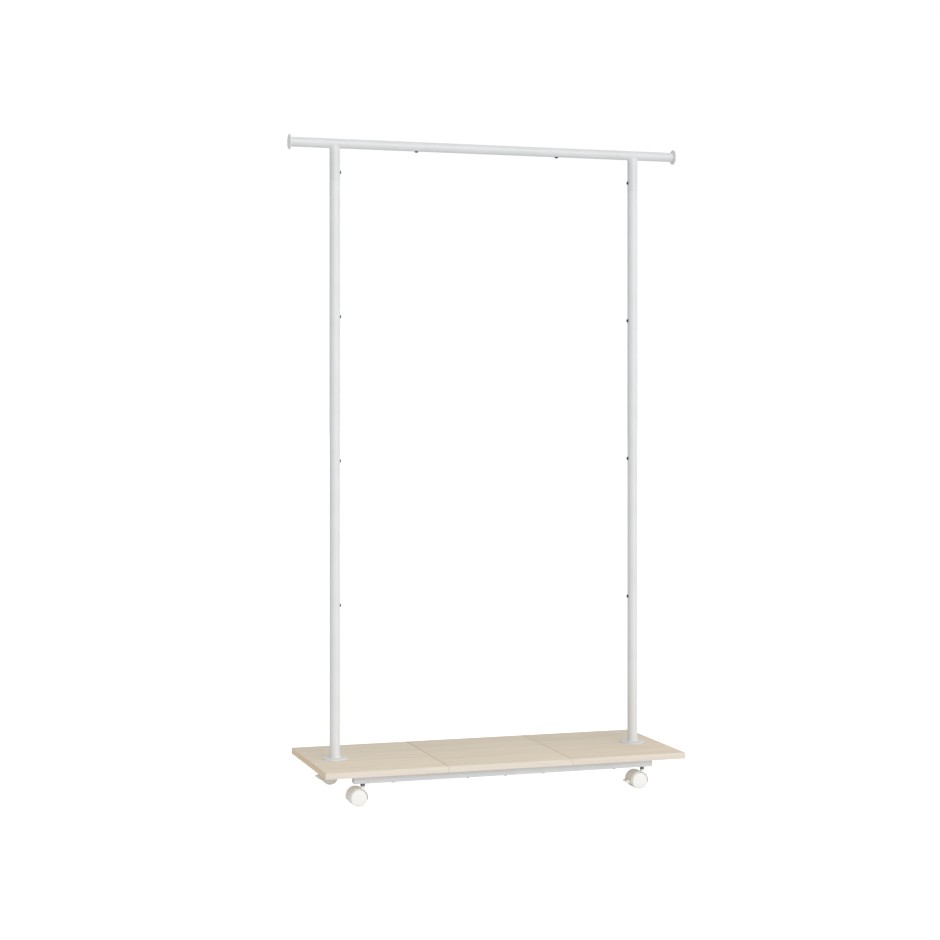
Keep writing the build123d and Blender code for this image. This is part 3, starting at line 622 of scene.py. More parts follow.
@cache
def maple_figure() -> Tree:
    """Build the group of maple figure along the vector's X: lanes, streaks, fibres and flecks."""
    names = ["Tone", "Fleck", "Relief"]
    group, graph, given, results = start_group("maple_figure", {"Seed": 0.0}, names)
    seeds = graph.node("CombineXYZ", dict.fromkeys((X, Y, Z), given["Seed"])).outputs[0]
    moved = graph.vector_maths("ADD", given["Vector"], seeds)[0]
    fibres = graph.pattern(moved, FIBRES)
    broad = graph.times(graph.pattern(moved, LANES), 0.30)
    narrow = graph.times(graph.pattern(moved, STREAKS), 0.46)
    graph.feed(results["Tone"], graph.plus(broad, narrow, graph.times(fibres, 0.24)))
    graph.feed(results["Fleck"], graph.pattern(moved, FLECKS))
    graph.feed(results["Relief"], graph.plus(fibres, narrow))
    return group


# ---------------------------------------------------------------- finishes


@dataclass(frozen=True)
class PowderCoat:
    """Baked powder paint on steel tube, with the strength of each kind of wear from 0 to 1."""

    colour: Colour
    worn: Colour
    roughness: float = 0.40
    peel_depth: float = 0.018 * MM
    marks_turn: Triple = (0, 0, 0)
    marks: float = 0.22
    thin_edges: float = 0.30
    dust: float = 0.25
    dust_height: float = 0.11
    cloud_tone: float = 1.035
    rubbed_above: float | None = None
    rubbed_depth: float = 9 * MM
    rubbed: float = 0.22

    def material(self, name: str) -> Material:
        """Build the paint: peel, clouded gloss, marks, thin edges and dust low down."""
        material, graph, shader = start_material(name)
        place = graph.place()
        skin = graph.effect(powder_skin(), place)
        marks = graph.effect(handling_marks(), graph.stretch(place, turn=self.marks_turn))["Mask"]
        edges = graph.effect(edge_wear_and_shade(), place)["Mask"]
        dust = graph.effect(settled_dust(), place, Height=self.dust_height)["Mask"]
        paint = graph.mix(skin["Cloud"], self.colour, toned(self.colour, self.cloud_tone))
        scuffed = graph.plus(graph.times(marks, self.marks), graph.times(edges, self.thin_edges))
        if self.rubbed_above is not None:
            scuffed = graph.plus(scuffed, self.hanger_rub(graph, place))
        paint = graph.mix(scuffed, paint, self.worn)
        graph.feed(shader["Base Color"], graph.mix(graph.times(dust, self.dust), paint, DUST))
        smooth, rough = self.roughness - 0.04, self.roughness + 0.05
        gloss = graph.ramp(skin["Cloud"], 0.0, 1.0, (smooth, rough))
        graph.feed(shader["Roughness"], graph.plus(gloss, graph.times(scuffed, 0.6)))
        graph.feed(shader["Normal"], graph.bump(skin["Peel"], self.peel_depth))
        return material

    def hanger_rub(self, graph: Graph, place: Signal) -> Signal:
        """Faint rings that hanger hooks have rubbed across the top of the bar."""
        rings = graph.pattern(place, RUBBED_RINGS)
        patches = graph.pattern(place, RUBBED_PATCHES)
        full = self.rubbed_above + self.rubbed_depth
        top = graph.ramp(graph.axis(place, "Z"), self.rubbed_above, full)
        return graph.times(graph.times(rings, patches), graph.times(top, self.rubbed))


@dataclass(frozen=True)
class MapleLaminate:
    """Maple-pattern laminate, as a board's face or as an edging strip."""

    light: Colour
    dark: Colour
    seed: float
    along_depth: bool = False
    roughness: float = 0.50
    gleam: float = 0.28
    relief: float = 0.05 * MM
    fleck_tone: float = 0.86
    flecks: float = 0.55
    edge_radius: float = 0.7 * MM
    pale_edges: float = 0.25
    backing: Colour | None = None
    seams_x: tuple[float, ...] = ()
    # Strength and width of the painted shade beside each seam between boards.
    stain: float = 0.34
    stain_from: float = 1.5 * MM
    stain_full: float = 0.4 * MM

    def material(self, name: str) -> Material:
        """Build the laminate: figure along its length, pores, painted shade beside each seam and a
        plainer back.
        """
        material, graph, shader = start_material(name)
        place = graph.place()
        turned = graph.stretch(place, turn=(0, 0, math.pi / 2 if self.along_depth else 0))
        figure = graph.effect(maple_figure(), turned, Seed=self.seed)
        wood = graph.mix(figure["Tone"], self.dark, self.light)
        flecks = graph.times(figure["Fleck"], self.flecks)
        wood = graph.mix(flecks, wood, toned(self.dark, self.fleck_tone))
        edges = graph.effect(edge_wear_and_shade(), place, Radius=self.edge_radius)["Mask"]
        wood = graph.mix(graph.times(edges, self.pale_edges), wood, self.light)
        if self.backing is not None:
            normal = graph.node("NewGeometry").outputs["Normal"]
            under = graph.ramp(graph.axis(normal, "Z"), low=-0.4, high=-0.7)
            paper = graph.mix(graph.pattern(place, BACKING_PAPER), self.backing, self.light)
            wood = graph.mix(under, wood, paper)
        # Darken the wood beside each seam between boards: painted shade of the seam's groove.
        for seam_x in self.seams_x:
            offset = graph.maths("SUBTRACT", graph.axis(place, "X"), seam_x)
            away = graph.maths("ABSOLUTE", offset)
            stain = graph.ramp(away, self.stain_from, self.stain_full, (0.0, self.stain))
            wood = graph.mix(stain, wood, SEAM_SHADE)
        graph.feed(shader["Base Color"], wood)
        rough, smooth = self.roughness + 0.06, self.roughness - 0.05
        graph.feed(shader["Roughness"], graph.ramp(figure["Tone"], 0.2, 0.8, (rough, smooth)))
        graph.feed(shader["Normal"], graph.bump(figure["Relief"], self.relief, strength=0.6))
        graph.feed(shader["Specular IOR Level"], self.gleam)
        return material


@dataclass(frozen=True)
class MouldedPlastic:
    """Injection-moulded plastic, with the strength of each effect from 0 to 1."""

    colour: Colour
    # Darker colour of the flow lines, and of the painted shade along the edges.
    shadow: Colour
    roughness: float = 0.34
    grain_depth: float = 0.008 * MM
    flow: float = 0.30
    edge_radius: float = 0.4 * MM
    # Share of the painted shade along the edges.
    edge_tone: float = 0.22
    dust: float = 0.20
    dust_height: float = 0.025
    scatter: float = 0.04
    scatter_depth: float = 1.5 * MM
    scatter_colours: Triple = (1.0, 0.9, 0.8)
    tread_dirt: float = 0.34

    def material(self, name: str, tread: tuple[Vector, float] | None = None) -> Material:
        """Build the plastic.

        Args:
            name: The material's name.
            tread: A wheel's middle and radius, where its tread has picked up dirt.

        Returns:
            The material: fine grain, flow lines, painted shade along the edges, and dust near the
                floor.
        """
        material, graph, shader = start_material(name)
        place = graph.place()
        skin = graph.effect(moulded_skin(), place)
        edges = graph.effect(edge_wear_and_shade(), place, Radius=self.edge_radius)["Mask"]
        dust = graph.effect(settled_dust(), place, Height=self.dust_height)["Mask"]
        plastic = graph.mix(graph.times(skin["Flow"], self.flow), self.colour, self.shadow)
        # Edges take on the darker colour: painted shade along edges and gaps.
        plastic = graph.mix(graph.times(edges, self.edge_tone), plastic, self.shadow)
        plastic = graph.mix(graph.times(dust, self.dust), plastic, DUST)
        if tread is not None:
            plastic = graph.mix(self.dirt_on_tread(graph, place, *tread), plastic, GRIME)
        graph.feed(shader["Base Color"], plastic)
        smooth, rough = self.roughness - 0.05, self.roughness + 0.07
        gloss = graph.ramp(skin["Flow"], 0.0, 1.0, (smooth, rough))
        graph.feed(shader["Roughness"], graph.plus(gloss, graph.times(dust, 0.2)))
        graph.feed(shader["Normal"], graph.bump(skin["Grain"], self.grain_depth))
        graph.feed(shader["Subsurface Weight"], self.scatter)
        graph.feed(shader["Subsurface Radius"], self.scatter_colours)
        graph.feed(shader["Subsurface Scale"], self.scatter_depth)
        return material

    def dirt_on_tread(self, graph: Graph, place: Signal, middle: Vector, radius: float) -> Signal:
        """Smudges on a wheel's tread, by distance from its axle, which runs along Y."""
        centred = graph.stretch(place, shift=(-middle.x, -middle.y, -middle.z))
        reach = graph.vector_maths("LENGTH", graph.stretch(centred, scale=(1, 0, 1)))["Value"]
        rim = graph.ramp(reach, radius - 0.9 * MM, radius - 0.25 * MM)
        return graph.times(rim, graph.pattern(centred, TREAD_SMUDGES), self.tread_dirt)


@dataclass(frozen=True)
class PlatedSteel:
    """Plated or plain steel of the fasteners and axles."""

    colour: Colour
    worn: Colour
    roughness: float = 0.32
    spangle_tone: float = 0.8
    edge_radius: float = 0.25 * MM
    bare_edges: float = 0.7
    mark_depth: float = 0.006 * MM

    def material(self, name: str) -> Material:
        """Build the metal: spangled plating, fine tool marks and edges worn to bare steel."""
        material, graph, shader = start_material(name)
        place = graph.place()
        spangle = graph.pattern(place, SPANGLE)
        marks = graph.pattern(place, TOOL_MARKS)
        edges = graph.effect(edge_wear_and_shade(), place, Radius=self.edge_radius)["Mask"]
        darker = toned(self.colour, self.spangle_tone)
        metal = graph.mix(graph.ramp(spangle, low=0.3, high=0.7), self.colour, darker)
        metal = graph.mix(graph.times(edges, self.bare_edges), metal, self.worn)
        graph.feed(shader["Base Color"], metal)
        smooth, rough = self.roughness - 0.08, self.roughness + 0.10
        graph.feed(shader["Roughness"], graph.ramp(spangle, 0.3, 0.7, (smooth, rough)))
        graph.feed(shader["Normal"], graph.bump(marks, self.mark_depth, strength=0.7))
        graph.feed(shader["Metallic"], 1.0)
        return material

DUST = shade(196, 190, 181)
GRIME = shade(150, 145, 138)
# Brown of the painted shade beside the seams between boards.
SEAM_SHADE = shade(168, 150, 124)
WHITE_PAINT = PowderCoat(colour=shade(223, 224, 225), worn=shade(190, 190, 190))
BAR_PAINT = PowderCoat(
    colour=shade(219, 220, 221),
    worn=shade(186, 186, 186),
    marks_turn=QUARTER_ABOUT_Y,
    rubbed_above=1.560,
)
RAIL_PAINT = PowderCoat(
    colour=shade(213, 215, 218),
    worn=shade(178, 178, 180),
    roughness=0.44,
    marks_turn=QUARTER_ABOUT_Y,
)
PLUG_PLASTIC = MouldedPlastic(shade(216, 218, 220), shade(200, 202, 206), roughness=0.45)
CAP_PLASTIC = MouldedPlastic(shade(232, 232, 232), shade(216, 216, 216), roughness=0.30)
WHEEL_NYLON = MouldedPlastic(shade(246, 245, 243), shade(236, 233, 228), roughness=0.36)
# The hood's darker colour on its edges paints the shade lines in the gap between fender and wheel.
HOOD_PLASTIC = MouldedPlastic(shade(252, 250, 246), shade(232, 222, 205), edge_tone=0.75)
LEVER_PLASTIC = MouldedPlastic(shade(250, 247, 241), shade(234, 228, 217), roughness=0.38)
DARK_STEEL = PlatedSteel(colour=shade(92, 92, 94), worn=shade(168, 168, 170))
NUT_STEEL = PlatedSteel(colour=shade(112, 112, 114), worn=shade(168, 168, 170), roughness=0.38)
ZINC_STEEL = PlatedSteel(colour=shade(188, 190, 194), worn=shade(214, 214, 216))
PLAIN_STEEL = PlatedSteel(colour=shade(168, 168, 170), worn=shade(200, 200, 202), roughness=0.28)


def dress(node: str, finish: Material) -> None:
    """Give a CAD node its finish and log it."""
    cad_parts[node].data.materials[0] = finish
    log.info("%s: %s", node, finish.name)


def hand_over(piece: Piece, finish: Material, body: str, slot: str, *replaced: str) -> None:
    """Give a modelled piece its finish and body, and log it.

    Args:
        piece: The finished piece.
        finish: Its material.
        body: The CAD body that it moves with.
        slot: The record's material slot; not used.
        *replaced: CAD nodes that it stands for.
    """
    piece.data.materials.clear()
    piece.data.materials.append(finish)
    if replaced:
        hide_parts(*replaced)
    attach(piece, body)
    log.info("%s: %s, on %s", piece.name, finish.name, body)


# ---------------------------------------------------------------- sub-assemblies


@dataclass
class DomeScrew:
    """Dome-head socket screw, in millimetres, seated at the origin with its head towards +Z."""

    head_radius: float = 4.3
    head_height: float = 2.7
    rim: float = 0.35
    flat_radius: float = 2.3
    socket_flats: float = 3.0
    socket_depth: float = 1.9
    thread_radius: float = 2.45
    thread_depth: float = 0.35
    pitch: float = 0.8
    length: float = 7.0
    plain_tip: float = 0.4
    plain_neck: float = 1.0
    dome_chords: int = 6
    steps: int = 32

    def profile(self) -> Profile:
        """Outline from the tip, up the thread and over the dome to the middle of the head."""
        root = self.thread_radius - self.thread_depth
        turns = int((self.length - self.plain_neck) / self.pitch)
        first = -self.length + self.plain_tip
        points = [(0.0, -self.length), (root, -self.length)]
        for turn in range(turns):
            points.append((root, first + turn * self.pitch))
            points.append((self.thread_radius, first + (turn + 0.5) * self.pitch))
        rise = self.head_height - self.rim
        reach = self.head_radius - self.flat_radius
        dome = [math.radians(90 / self.dome_chords * n) for n in range(self.dome_chords + 1)]
        points += [(root, first + turns * self.pitch), (root, 0.0), (self.head_radius, 0.0)]
        for turn in dome:
            across = self.flat_radius + reach * math.cos(turn)
            points.append((across, self.rim + rise * math.sin(turn)))
        return points + [(0.0, self.head_height)]

    def model(self) -> Piece:
        """Turn the screw on a lathe and sink the hexagon socket into its head."""
        screw = Bench.lathe(in_millimetres(self.profile()), self.steps)
        top = self.head_height * MM
        socket = Bench.prism(6, self.socket_flats * MM, top - self.socket_depth * MM, top + MM)
        Bench.combine(screw, socket, Cut.REMOVE)
        return screw

    def fasten(self, name: str, seats: list[Vector], outward: Vector) -> Piece:
        """Put a screw at each seat, with its head outwards, as one named piece."""
        places = [facing(seat, outward) for seat in seats]
        return Bench.finish(Bench.scatter(self.model(), places), name)


@dataclass
class ShelfBoards:
    """Three laminated boards, with an edging strip glued on every outer side."""

    strip: float = 1.0 * MM
    round_over: float = 0.8 * MM
    seam_round: float = 0.5 * MM
    strip_overhang: float = 0.25 * MM
    end_round: float = 0.2 * MM
    glue_line: float = 0.12 * MM
    slot: str = "shelf_board"
    light: Colour = shade(243, 230, 210)
    dark: Colour = shade(226, 211, 186)
    edge_light: Colour = shade(233, 225, 213)
    edge_dark: Colour = shade(221, 210, 194)
    end_light: Colour = shade(246, 226, 194)
    end_dark: Colour = shade(230, 206, 172)
    backing: Colour = shade(222, 212, 194)
    seeds: dict[str, float] = field(
        default_factory=lambda: {"board_left": 0.0, "board_middle": 3.7, "board_right": 8.9}
    )
    long_strip_seed: float = 1.3
    end_strip_seed: float = 2.1

    def build(self) -> None:
        """Model and dress the panel and the strips of each board."""
        for name, seed in self.seeds.items():
            low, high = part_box(name)
            ends = [side for side in Side if self.is_outer(side, low, high)]
            self.build_panel(name, seed, ends)
            for way in (*Row, *ends):
                self.build_strip(name, seed, way, ends)

    @staticmethod
    def is_outer(side: Side, low: Vector, high: Vector) -> bool:
        """Tell if a board's side is the shelf's own end, which is far from the middle."""
        depth = 2 * CAD_BOX[1].y
        return side.value * side.end(low, high) > depth

    def build_panel(self, name: str, seed: float, ends: list[Side]) -> None:
        """Model the board between its strips, with a fine groove along each glue line."""
        low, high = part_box(name)
        low.y += self.strip
        high.y -= self.strip
        for side in ends:
            (low if side is Side.LEFT else high).x -= side.value * self.strip
        seams_x = tuple(side.end(low, high) for side in Side if side not in ends)
        panel = rounded_block(
            low,
            high,
            Rounding(Y, X, seams_x, self.seam_round),
            Rounding(X, Y, (low.y, high.y), self.glue_line, segments=2),
        )
        Bench.finish(panel, f"{name}_panel")
        finish = MapleLaminate(self.light, self.dark, seed, backing=self.backing, seams_x=seams_x)
        hand_over(panel, finish.material(f"maple face {name}"), "rack", self.slot, name)

    def build_strip(self, name: str, seed: float, way: Way, ends: list[Side]) -> None:
        """Model an edging strip.

        Args:
            name: The board's node.
            seed: The board's own grain.
            way: Side of the board that the strip is on. Front and rear strips run a little past
                the board at each seam, and end strips fit between them.
            ends: The board's sides that are the shelf's own ends.
        """
        low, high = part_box(name)
        if isinstance(way, Row):
            low.x -= 0.0 if Side.LEFT in ends else self.strip_overhang
            high.x += 0.0 if Side.RIGHT in ends else self.strip_overhang
            run, across = X, Y
            finish = MapleLaminate(
                self.edge_light, self.edge_dark, seed + self.long_strip_seed * way.value
            )
        else:
            low.y += self.strip
            high.y -= self.strip
            run, across = Y, X
            finish = MapleLaminate(
                self.end_light, self.end_dark, seed + self.end_strip_seed, along_depth=True
            )
        outer = way.end(low, high)
        (low if way.value > 0 else high)[across] = outer - way.value * self.strip
        tips = (outer,) if isinstance(way, Row) else ()
        strip = rounded_block(
            low,
            high,
            Rounding(Z, across, tips, self.end_round, segments=3),
            Rounding(run, across, (outer,), self.round_over),
        )
        Bench.finish(strip, f"{name}_edging_{way.word}")
        hand_over(strip, finish.material(f"maple edging {name} {way.word}"), "rack", self.slot)


@dataclass
class Rails:
    """Two square rails under the shelf, with their plugs, board screws and inserts."""

    plug_head: float = 4.0 * MM
    corner: float = 1.6 * MM
    crown: float = 3.2 * MM
    crown_steps: int = 6
    border: float = 1.0 * MM
    recess: float = 0.5 * MM
    spigot_inset: float = 1.4 * MM
    spigot_wall: float = 1.6 * MM
    screws_x: tuple[float, ...] = (-0.278, -0.095, 0.0, 0.095, 0.278)
    screw: DomeScrew = field(
        default_factory=lambda: DomeScrew(length=31.0, pitch=1.8, thread_depth=0.6)
    )

    def build(self) -> None:
        """Dress the tubes and model the plugs and screws."""
        paint = RAIL_PAINT.material("rail powder coat")
        plug_finish = PLUG_PLASTIC.material("rail plug plastic")
        for row in Row:
            for side in Side:
                dress(f"rail_{row.word}_{side.word}", paint)
                self.build_plug(row, side, plug_finish)
            self.build_screws(row)
        zinc = ZINC_STEEL.material("zinc plating")
        dress("rail_threaded_inserts", zinc)
        for side in Side:
            dress(f"foot_bolt_{side.word}", zinc)
            dress(f"foot_washer_{side.word}", zinc)

    def build_plug(self, row: Row, side: Side, finish: Material) -> None:
        """Model a plug: a crowned head with a sunk middle, and a hollow spigot inside the tube."""
        node = f"rail_plug_{row.word}_{side.word}"
        low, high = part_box(node)
        out = side.value
        tip = side.end(low, high)
        seat = tip - out * self.plug_head
        depth = (high.x - low.x) - self.plug_head
        collar = tip - out * self.crown
        low.x, high.x = min(collar, seat), max(collar, seat)
        plug = Bench.block(low, high)
        with Bench.editing(plug, "EDGE"):
            Bench.pick_edges(plug, lambda middle, way: abs(way.x) > ALONG)
            bpy.ops.mesh.bevel(offset=self.corner, segments=4, affect="EDGES")
            bpy.ops.mesh.select_mode(type="FACE")
            Bench.pick_faces(plug, lambda middle, normal: normal.x * out > FACING)
            self.raise_crown(out, (low + high) / 2, (high.z - low.z) / 2)
            bpy.ops.mesh.inset(thickness=self.border)
            bpy.ops.mesh.inset(thickness=self.recess, depth=-self.recess)
            Bench.pick_faces(plug, lambda middle, normal: normal.x * out < -FACING)
            bpy.ops.mesh.inset(thickness=self.spigot_inset)
            Bench.extrude(Vector((-out * depth, 0, 0)))
            bpy.ops.mesh.inset(thickness=self.spigot_wall)
            Bench.extrude(Vector((out * depth, 0, 0)))
        Bench.finish(plug, f"moulded_{node}")
        hand_over(plug, finish, "rack", "rail_plug", node)

    def raise_crown(self, out: int, centre: Vector, half: float) -> None:
        """Grow the picked end face outwards in rounded steps.

        Args:
            out: Sign of the x direction in which the plug faces.
            centre: Middle of the head.
            half: Half of the head's width before the crown.
        """
        size = half
        for step in range(self.crown_steps):
            start, end = (math.radians(90 * n / self.crown_steps) for n in (step, step + 1))
            advance = self.crown * (math.sin(end) - math.sin(start))
            Bench.extrude(Vector((out * advance, 0, 0)))
            smaller = half - self.crown * (1 - math.cos(end))
            shrink = smaller / size
            bpy.ops.transform.resize(value=(1, shrink, shrink), center_override=centre)
            size = smaller

    def build_screws(self, row: Row) -> None:
        """Model the row of screws that hold the boards down on the rail."""
        node = f"board_screws_{row.word}"
        low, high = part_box(node)
        seat = low.z + self.screw.head_height * MM
        seats = [Vector((x, (low.y + high.y) / 2, seat)) for x in self.screws_x]
        screws = self.screw.fasten(f"socket_{node}", seats, DOWN)
        plating = ZINC_STEEL.material(f"screw plating {row.word}")
        hand_over(screws, plating, "rack", "rail_screw", node)


@dataclass
class Post:
    """One post: flanged foot, three tubes and the T-piece, with its four screws."""

    side: Side
    screw_above_seam: float = 20.0 * MM
    screw: DomeScrew = field(default_factory=DomeScrew)
    levels: tuple[str, ...] = ("lower", "middle", "upper")

    def build(self, paint: Material, plating: Material) -> None:
        """Dress the tubes and model the screws on the post's inner side."""
        word = self.side.word
        tubes = [f"post_tube_{level}_{word}" for level in self.levels]
        dress(f"post_foot_{word}", paint)
        for tube in tubes:
            dress(tube, paint)
        seams = [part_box(piece)[0].z for piece in (*tubes, f"t_piece_{word}")]
        low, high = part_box(tubes[0])
        inner_x = self.side.end(high, low)
        seats = [Vector((inner_x, 0, seam + self.screw_above_seam)) for seam in seams]
        inward = Vector((-self.side.value, 0, 0))
        screws = self.screw.fasten(f"socket_screws_post_{word}", seats, inward)
        hand_over(screws, plating, "rack", "dark_screw", f"post_screws_{word}")


@dataclass
class HangingBar:
    """Hanging bar: the middle tube, both T-pieces, two screws underneath and the end caps."""

    screw_past_seam: float = 20.0 * MM
    screw: DomeScrew = field(default_factory=DomeScrew)
    cap_radius: float = 18.5
    cap_dome: float = 1.6
    cap_thickness: float = 4.2
    gate_radius: float = 1.2
    gate_slope: float = 0.3
    gate_depth: float = 0.4
    neck_radius: float = 11.0
    neck_length: float = 1.5
    neck_fillet: float = 0.6
    spigot_radius: float = 10.4
    spigot_length: float = 18.0
    spigot_bore: float = 8.3
    spigot_taper: float = 1.4
    rings: tuple[float, ...] = (3.0, 8.0, 13.0)
    ring_height: float = 0.4
    ring_slope: float = 0.5
    ring_width: float = 0.8
    dome_chords: int = 8
    cap_steps: int = 72

    def build(self, paint: Material, plating: Material) -> None:
        """Dress the bar's tubes and model the screws and caps."""
        dress("bar_middle", paint)
        for side in Side:
            dress(f"t_piece_{side.word}", paint)
        low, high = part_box("bar_middle")
        seam = -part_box("t_piece_left")[1].x
        screw_x = seam + self.screw_past_seam
        seats = [Vector((side.value * screw_x, 0, low.z)) for side in Side]
        screws = self.screw.fasten("socket_screws_bar", seats, DOWN)
        hand_over(screws, plating, "rack", "dark_screw", "bar_screws")
        finish = CAP_PLASTIC.material("end cap plastic")
        cap = Bench.lathe(in_millimetres(self.cap_profile()), self.cap_steps)
        for side in Side:
            node = f"end_cap_{side.word}"
            tip = Vector((side.end(*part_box(node)), 0, (low.z + high.z) / 2))
            place = facing(tip, Vector((side.value, 0, 0)))
            piece = Bench.finish(Bench.copy(cap, place), f"moulded_{node}")
            hand_over(piece, finish, "rack", "cap_plastic", node)
        Bench.discard(cap)

    def cap_profile(self) -> Profile:
        """Outline of a cap, from the gate mark in its face round to the spigot's bore."""
        edge = self.cap_thickness / 2
        face_radius = self.cap_radius - edge
        span, chords = face_radius - self.gate_radius, self.dome_chords
        dome = [self.gate_radius + span * n / chords for n in range(chords + 1)]
        points = [(0.0, -self.gate_depth), (self.gate_radius - self.gate_slope, -self.gate_depth)]
        points += [(r, -self.cap_dome * (r / face_radius) ** 2) for r in dome]
        points += arc((face_radius, -self.cap_dome - edge), edge, 90, -90, 10)[1:]
        back = -self.cap_dome - self.cap_thickness
        fillet_middle = (self.neck_radius + self.neck_fillet, back - self.neck_fillet)
        points += arc(fillet_middle, self.neck_fillet, 90, 180, 4)
        bar_end = back - self.neck_length
        points += [(self.neck_radius, bar_end), (self.spigot_radius, bar_end)]
        groove = self.spigot_radius - self.ring_height
        for ring in self.rings:
            top = bar_end - ring - self.ring_slope
            bottom = top - self.ring_width
            points += [(groove, bar_end - ring), (self.spigot_radius, top)]
            points += [(self.spigot_radius, bottom), (groove, bottom - self.ring_slope)]
        tail = bar_end - self.spigot_length
        points += [(self.spigot_radius - self.spigot_taper, tail)]
        return points + [(self.spigot_bore, tail), (self.spigot_bore, bar_end), (0.0, bar_end)]


@dataclass
class TwinWheelCaster:
    """Twin-wheel caster, in millimetres about the middle of its axle."""

    wheel_radius: float = 20.0
    inner_face: float = 6.2
    outer_face: float = 22.0
    crown: float = 0.15
    shoulder: float = 1.6
    rim: float = 3.2
    disc: float = 4.6
    disc_dome: float = 0.5
    disc_chords: int = 8
    disc_gap: float = 0.8
    disc_groove: float = 0.5
    gate_radius: float = 1.3
    gate_slope: float = 0.3
    gate_height: float = 0.7
    parting_reach: float = 2.5
    parting_sink: float = 0.06
    parting_foot: float = 0.25
    parting_top: float = 0.12
    fillet: float = 0.5
    lip: float = 0.6
    hub: float = 6.0
    hub_round: float = 0.3
    bore: float = 2.55
    bore_past_disc: float = 1.2
    rib: float = 1.4
    rib_bite: float = 0.4
    rib_below_face: float = 1.5
    ribs: int = 6
    steps: int = 72
    nut_flats: float = 10.0
    nut_bore: float = 3.05
    nut_chamfer: float = 0.6
    nut_pitch: float = 1.0
    nut_groove: float = 0.3

    def wheel_profile(self) -> Profile:
        """Outline of a wheel, from the gate mark on its outer disc round to its blind bore."""
        face = self.outer_face
        disc_edge = self.wheel_radius - self.rim - self.disc_gap
        span, chords = disc_edge - self.gate_radius, self.disc_chords
        dome = [self.gate_radius + span * n / chords for n in range(chords + 1)]
        gate = face + self.gate_height
        points = [(0.0, gate), (self.gate_radius - self.gate_slope, gate)]
        points += [(r, face + self.disc_dome * (1 - (r / disc_edge) ** 2)) for r in dome]
        groove = face - self.disc_groove
        points += [(disc_edge + 0.3, groove), (disc_edge + 0.9, groove), (disc_edge + 1.2, face)]
        tread = self.wheel_radius - self.crown
        points += arc((tread - self.shoulder, face - self.shoulder), self.shoulder, 90, 0)
        parting = (self.inner_face + face) / 2
        sunk = self.wheel_radius - self.parting_sink
        points += [
            (sunk, parting + self.parting_reach),
            (sunk, parting + self.parting_foot),
            (self.wheel_radius, parting + self.parting_top),
            (self.wheel_radius, parting - self.parting_top),
            (sunk, parting - self.parting_foot),
            (sunk, parting - self.parting_reach),
        ]
        lip = self.inner_face + self.lip
        cavity = self.wheel_radius - self.rim
        back = face - self.disc
        points += [(tread, lip + 1.2), (tread - 0.3, lip + 0.4), (tread - 0.9, lip)]
        points += [(cavity + 0.4, lip), (cavity, lip + 0.4), (cavity, back - self.fillet)]
        points += [(cavity - self.fillet, back), (self.hub + self.fillet, back)]
        points += [(self.hub, back - self.fillet), (self.hub, self.inner_face + self.hub_round)]
        points += [(self.hub - self.hub_round, self.inner_face), (self.bore, self.inner_face)]
        blind = back + self.bore_past_disc
        return points + [(self.bore, blind), (0.0, blind)]

    def model_wheel(self) -> Piece:
        """Turn a wheel about Y, with its disc to the front, and set ribs in behind the disc."""
        profile = in_millimetres(self.wheel_profile())
        wheel = Bench.lathe(profile, self.steps, Vector((0, -1, 0)))
        start = self.hub - self.rib_bite
        end = self.wheel_radius - self.rim + self.rib_bite
        back = self.outer_face - self.disc
        low = Vector((start, -back - self.rib_bite, -self.rib / 2)) * MM
        high = Vector((end, -self.inner_face - self.rib_below_face, self.rib / 2)) * MM
        turns = [Matrix.Rotation(2 * math.pi * n / self.ribs, 4, "Y") for n in range(self.ribs)]
        Bench.combine(wheel, Bench.scatter(Bench.block(low, high), turns), Cut.ADD)
        return wheel

    def model_nut(self, height: float) -> Piece:
        """Cut a hexagon nut with turned corners and a threaded bore, standing on the origin."""
        nut = Bench.prism(6, self.nut_flats * MM, 0.0, height * MM)
        corner = self.nut_flats / 2 / math.cos(math.pi / 6) + 0.1
        flat = self.nut_flats / 2 - 0.15
        drop = (corner - flat) * math.tan(math.radians(30))
        bore, chamfer = self.nut_bore, self.nut_chamfer
        points = [(flat, 0.0), (corner, drop), (corner, height - drop), (flat, height)]
        points += [(bore + chamfer, height), (bore, height - chamfer)]
        for turn in range(int((height - 2 * chamfer) / self.nut_pitch)):
            points.append((bore + self.nut_groove, height - 1.1 - turn * self.nut_pitch))
            points.append((bore, height - 1.6 - turn * self.nut_pitch))
        points += [(bore, chamfer), (bore + chamfer, 0.0), (flat, 0.0)]
        Bench.combine(nut, Bench.lathe(in_millimetres(points), self.steps), Cut.KEEP)
        return nut

    def build(self) -> None:
        """Model the wheels and nuts of all four casters and dress the rest."""
        hood_finish = HOOD_PLASTIC.material("caster hood plastic")
        lever_finish = LEVER_PLASTIC.material("brake lever plastic")
        steel = PLAIN_STEEL.material("plain steel")
        model = self.model_wheel()
        nut_places = []
        for row in Row:
            for side in Side:
                corner = f"{row.word}_{side.word}"
                caster = f"caster_{corner}"
                dress(f"{caster}_hood", hood_finish)
                dress(f"{caster}_axle", steel)
                dress(f"{caster}_stem", steel)
                if f"{caster}_brake_lever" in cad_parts:
                    dress(f"{caster}_brake_lever", lever_finish)
                    dress(f"{caster}_brake_pin", steel)
                for position in Row:
                    self.build_wheel(model, corner, position)
                low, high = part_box(f"{caster}_stem")
                nut_places.append(((low + high) / 2).xy)
        Bench.discard(model)
        self.build_nuts(nut_places)

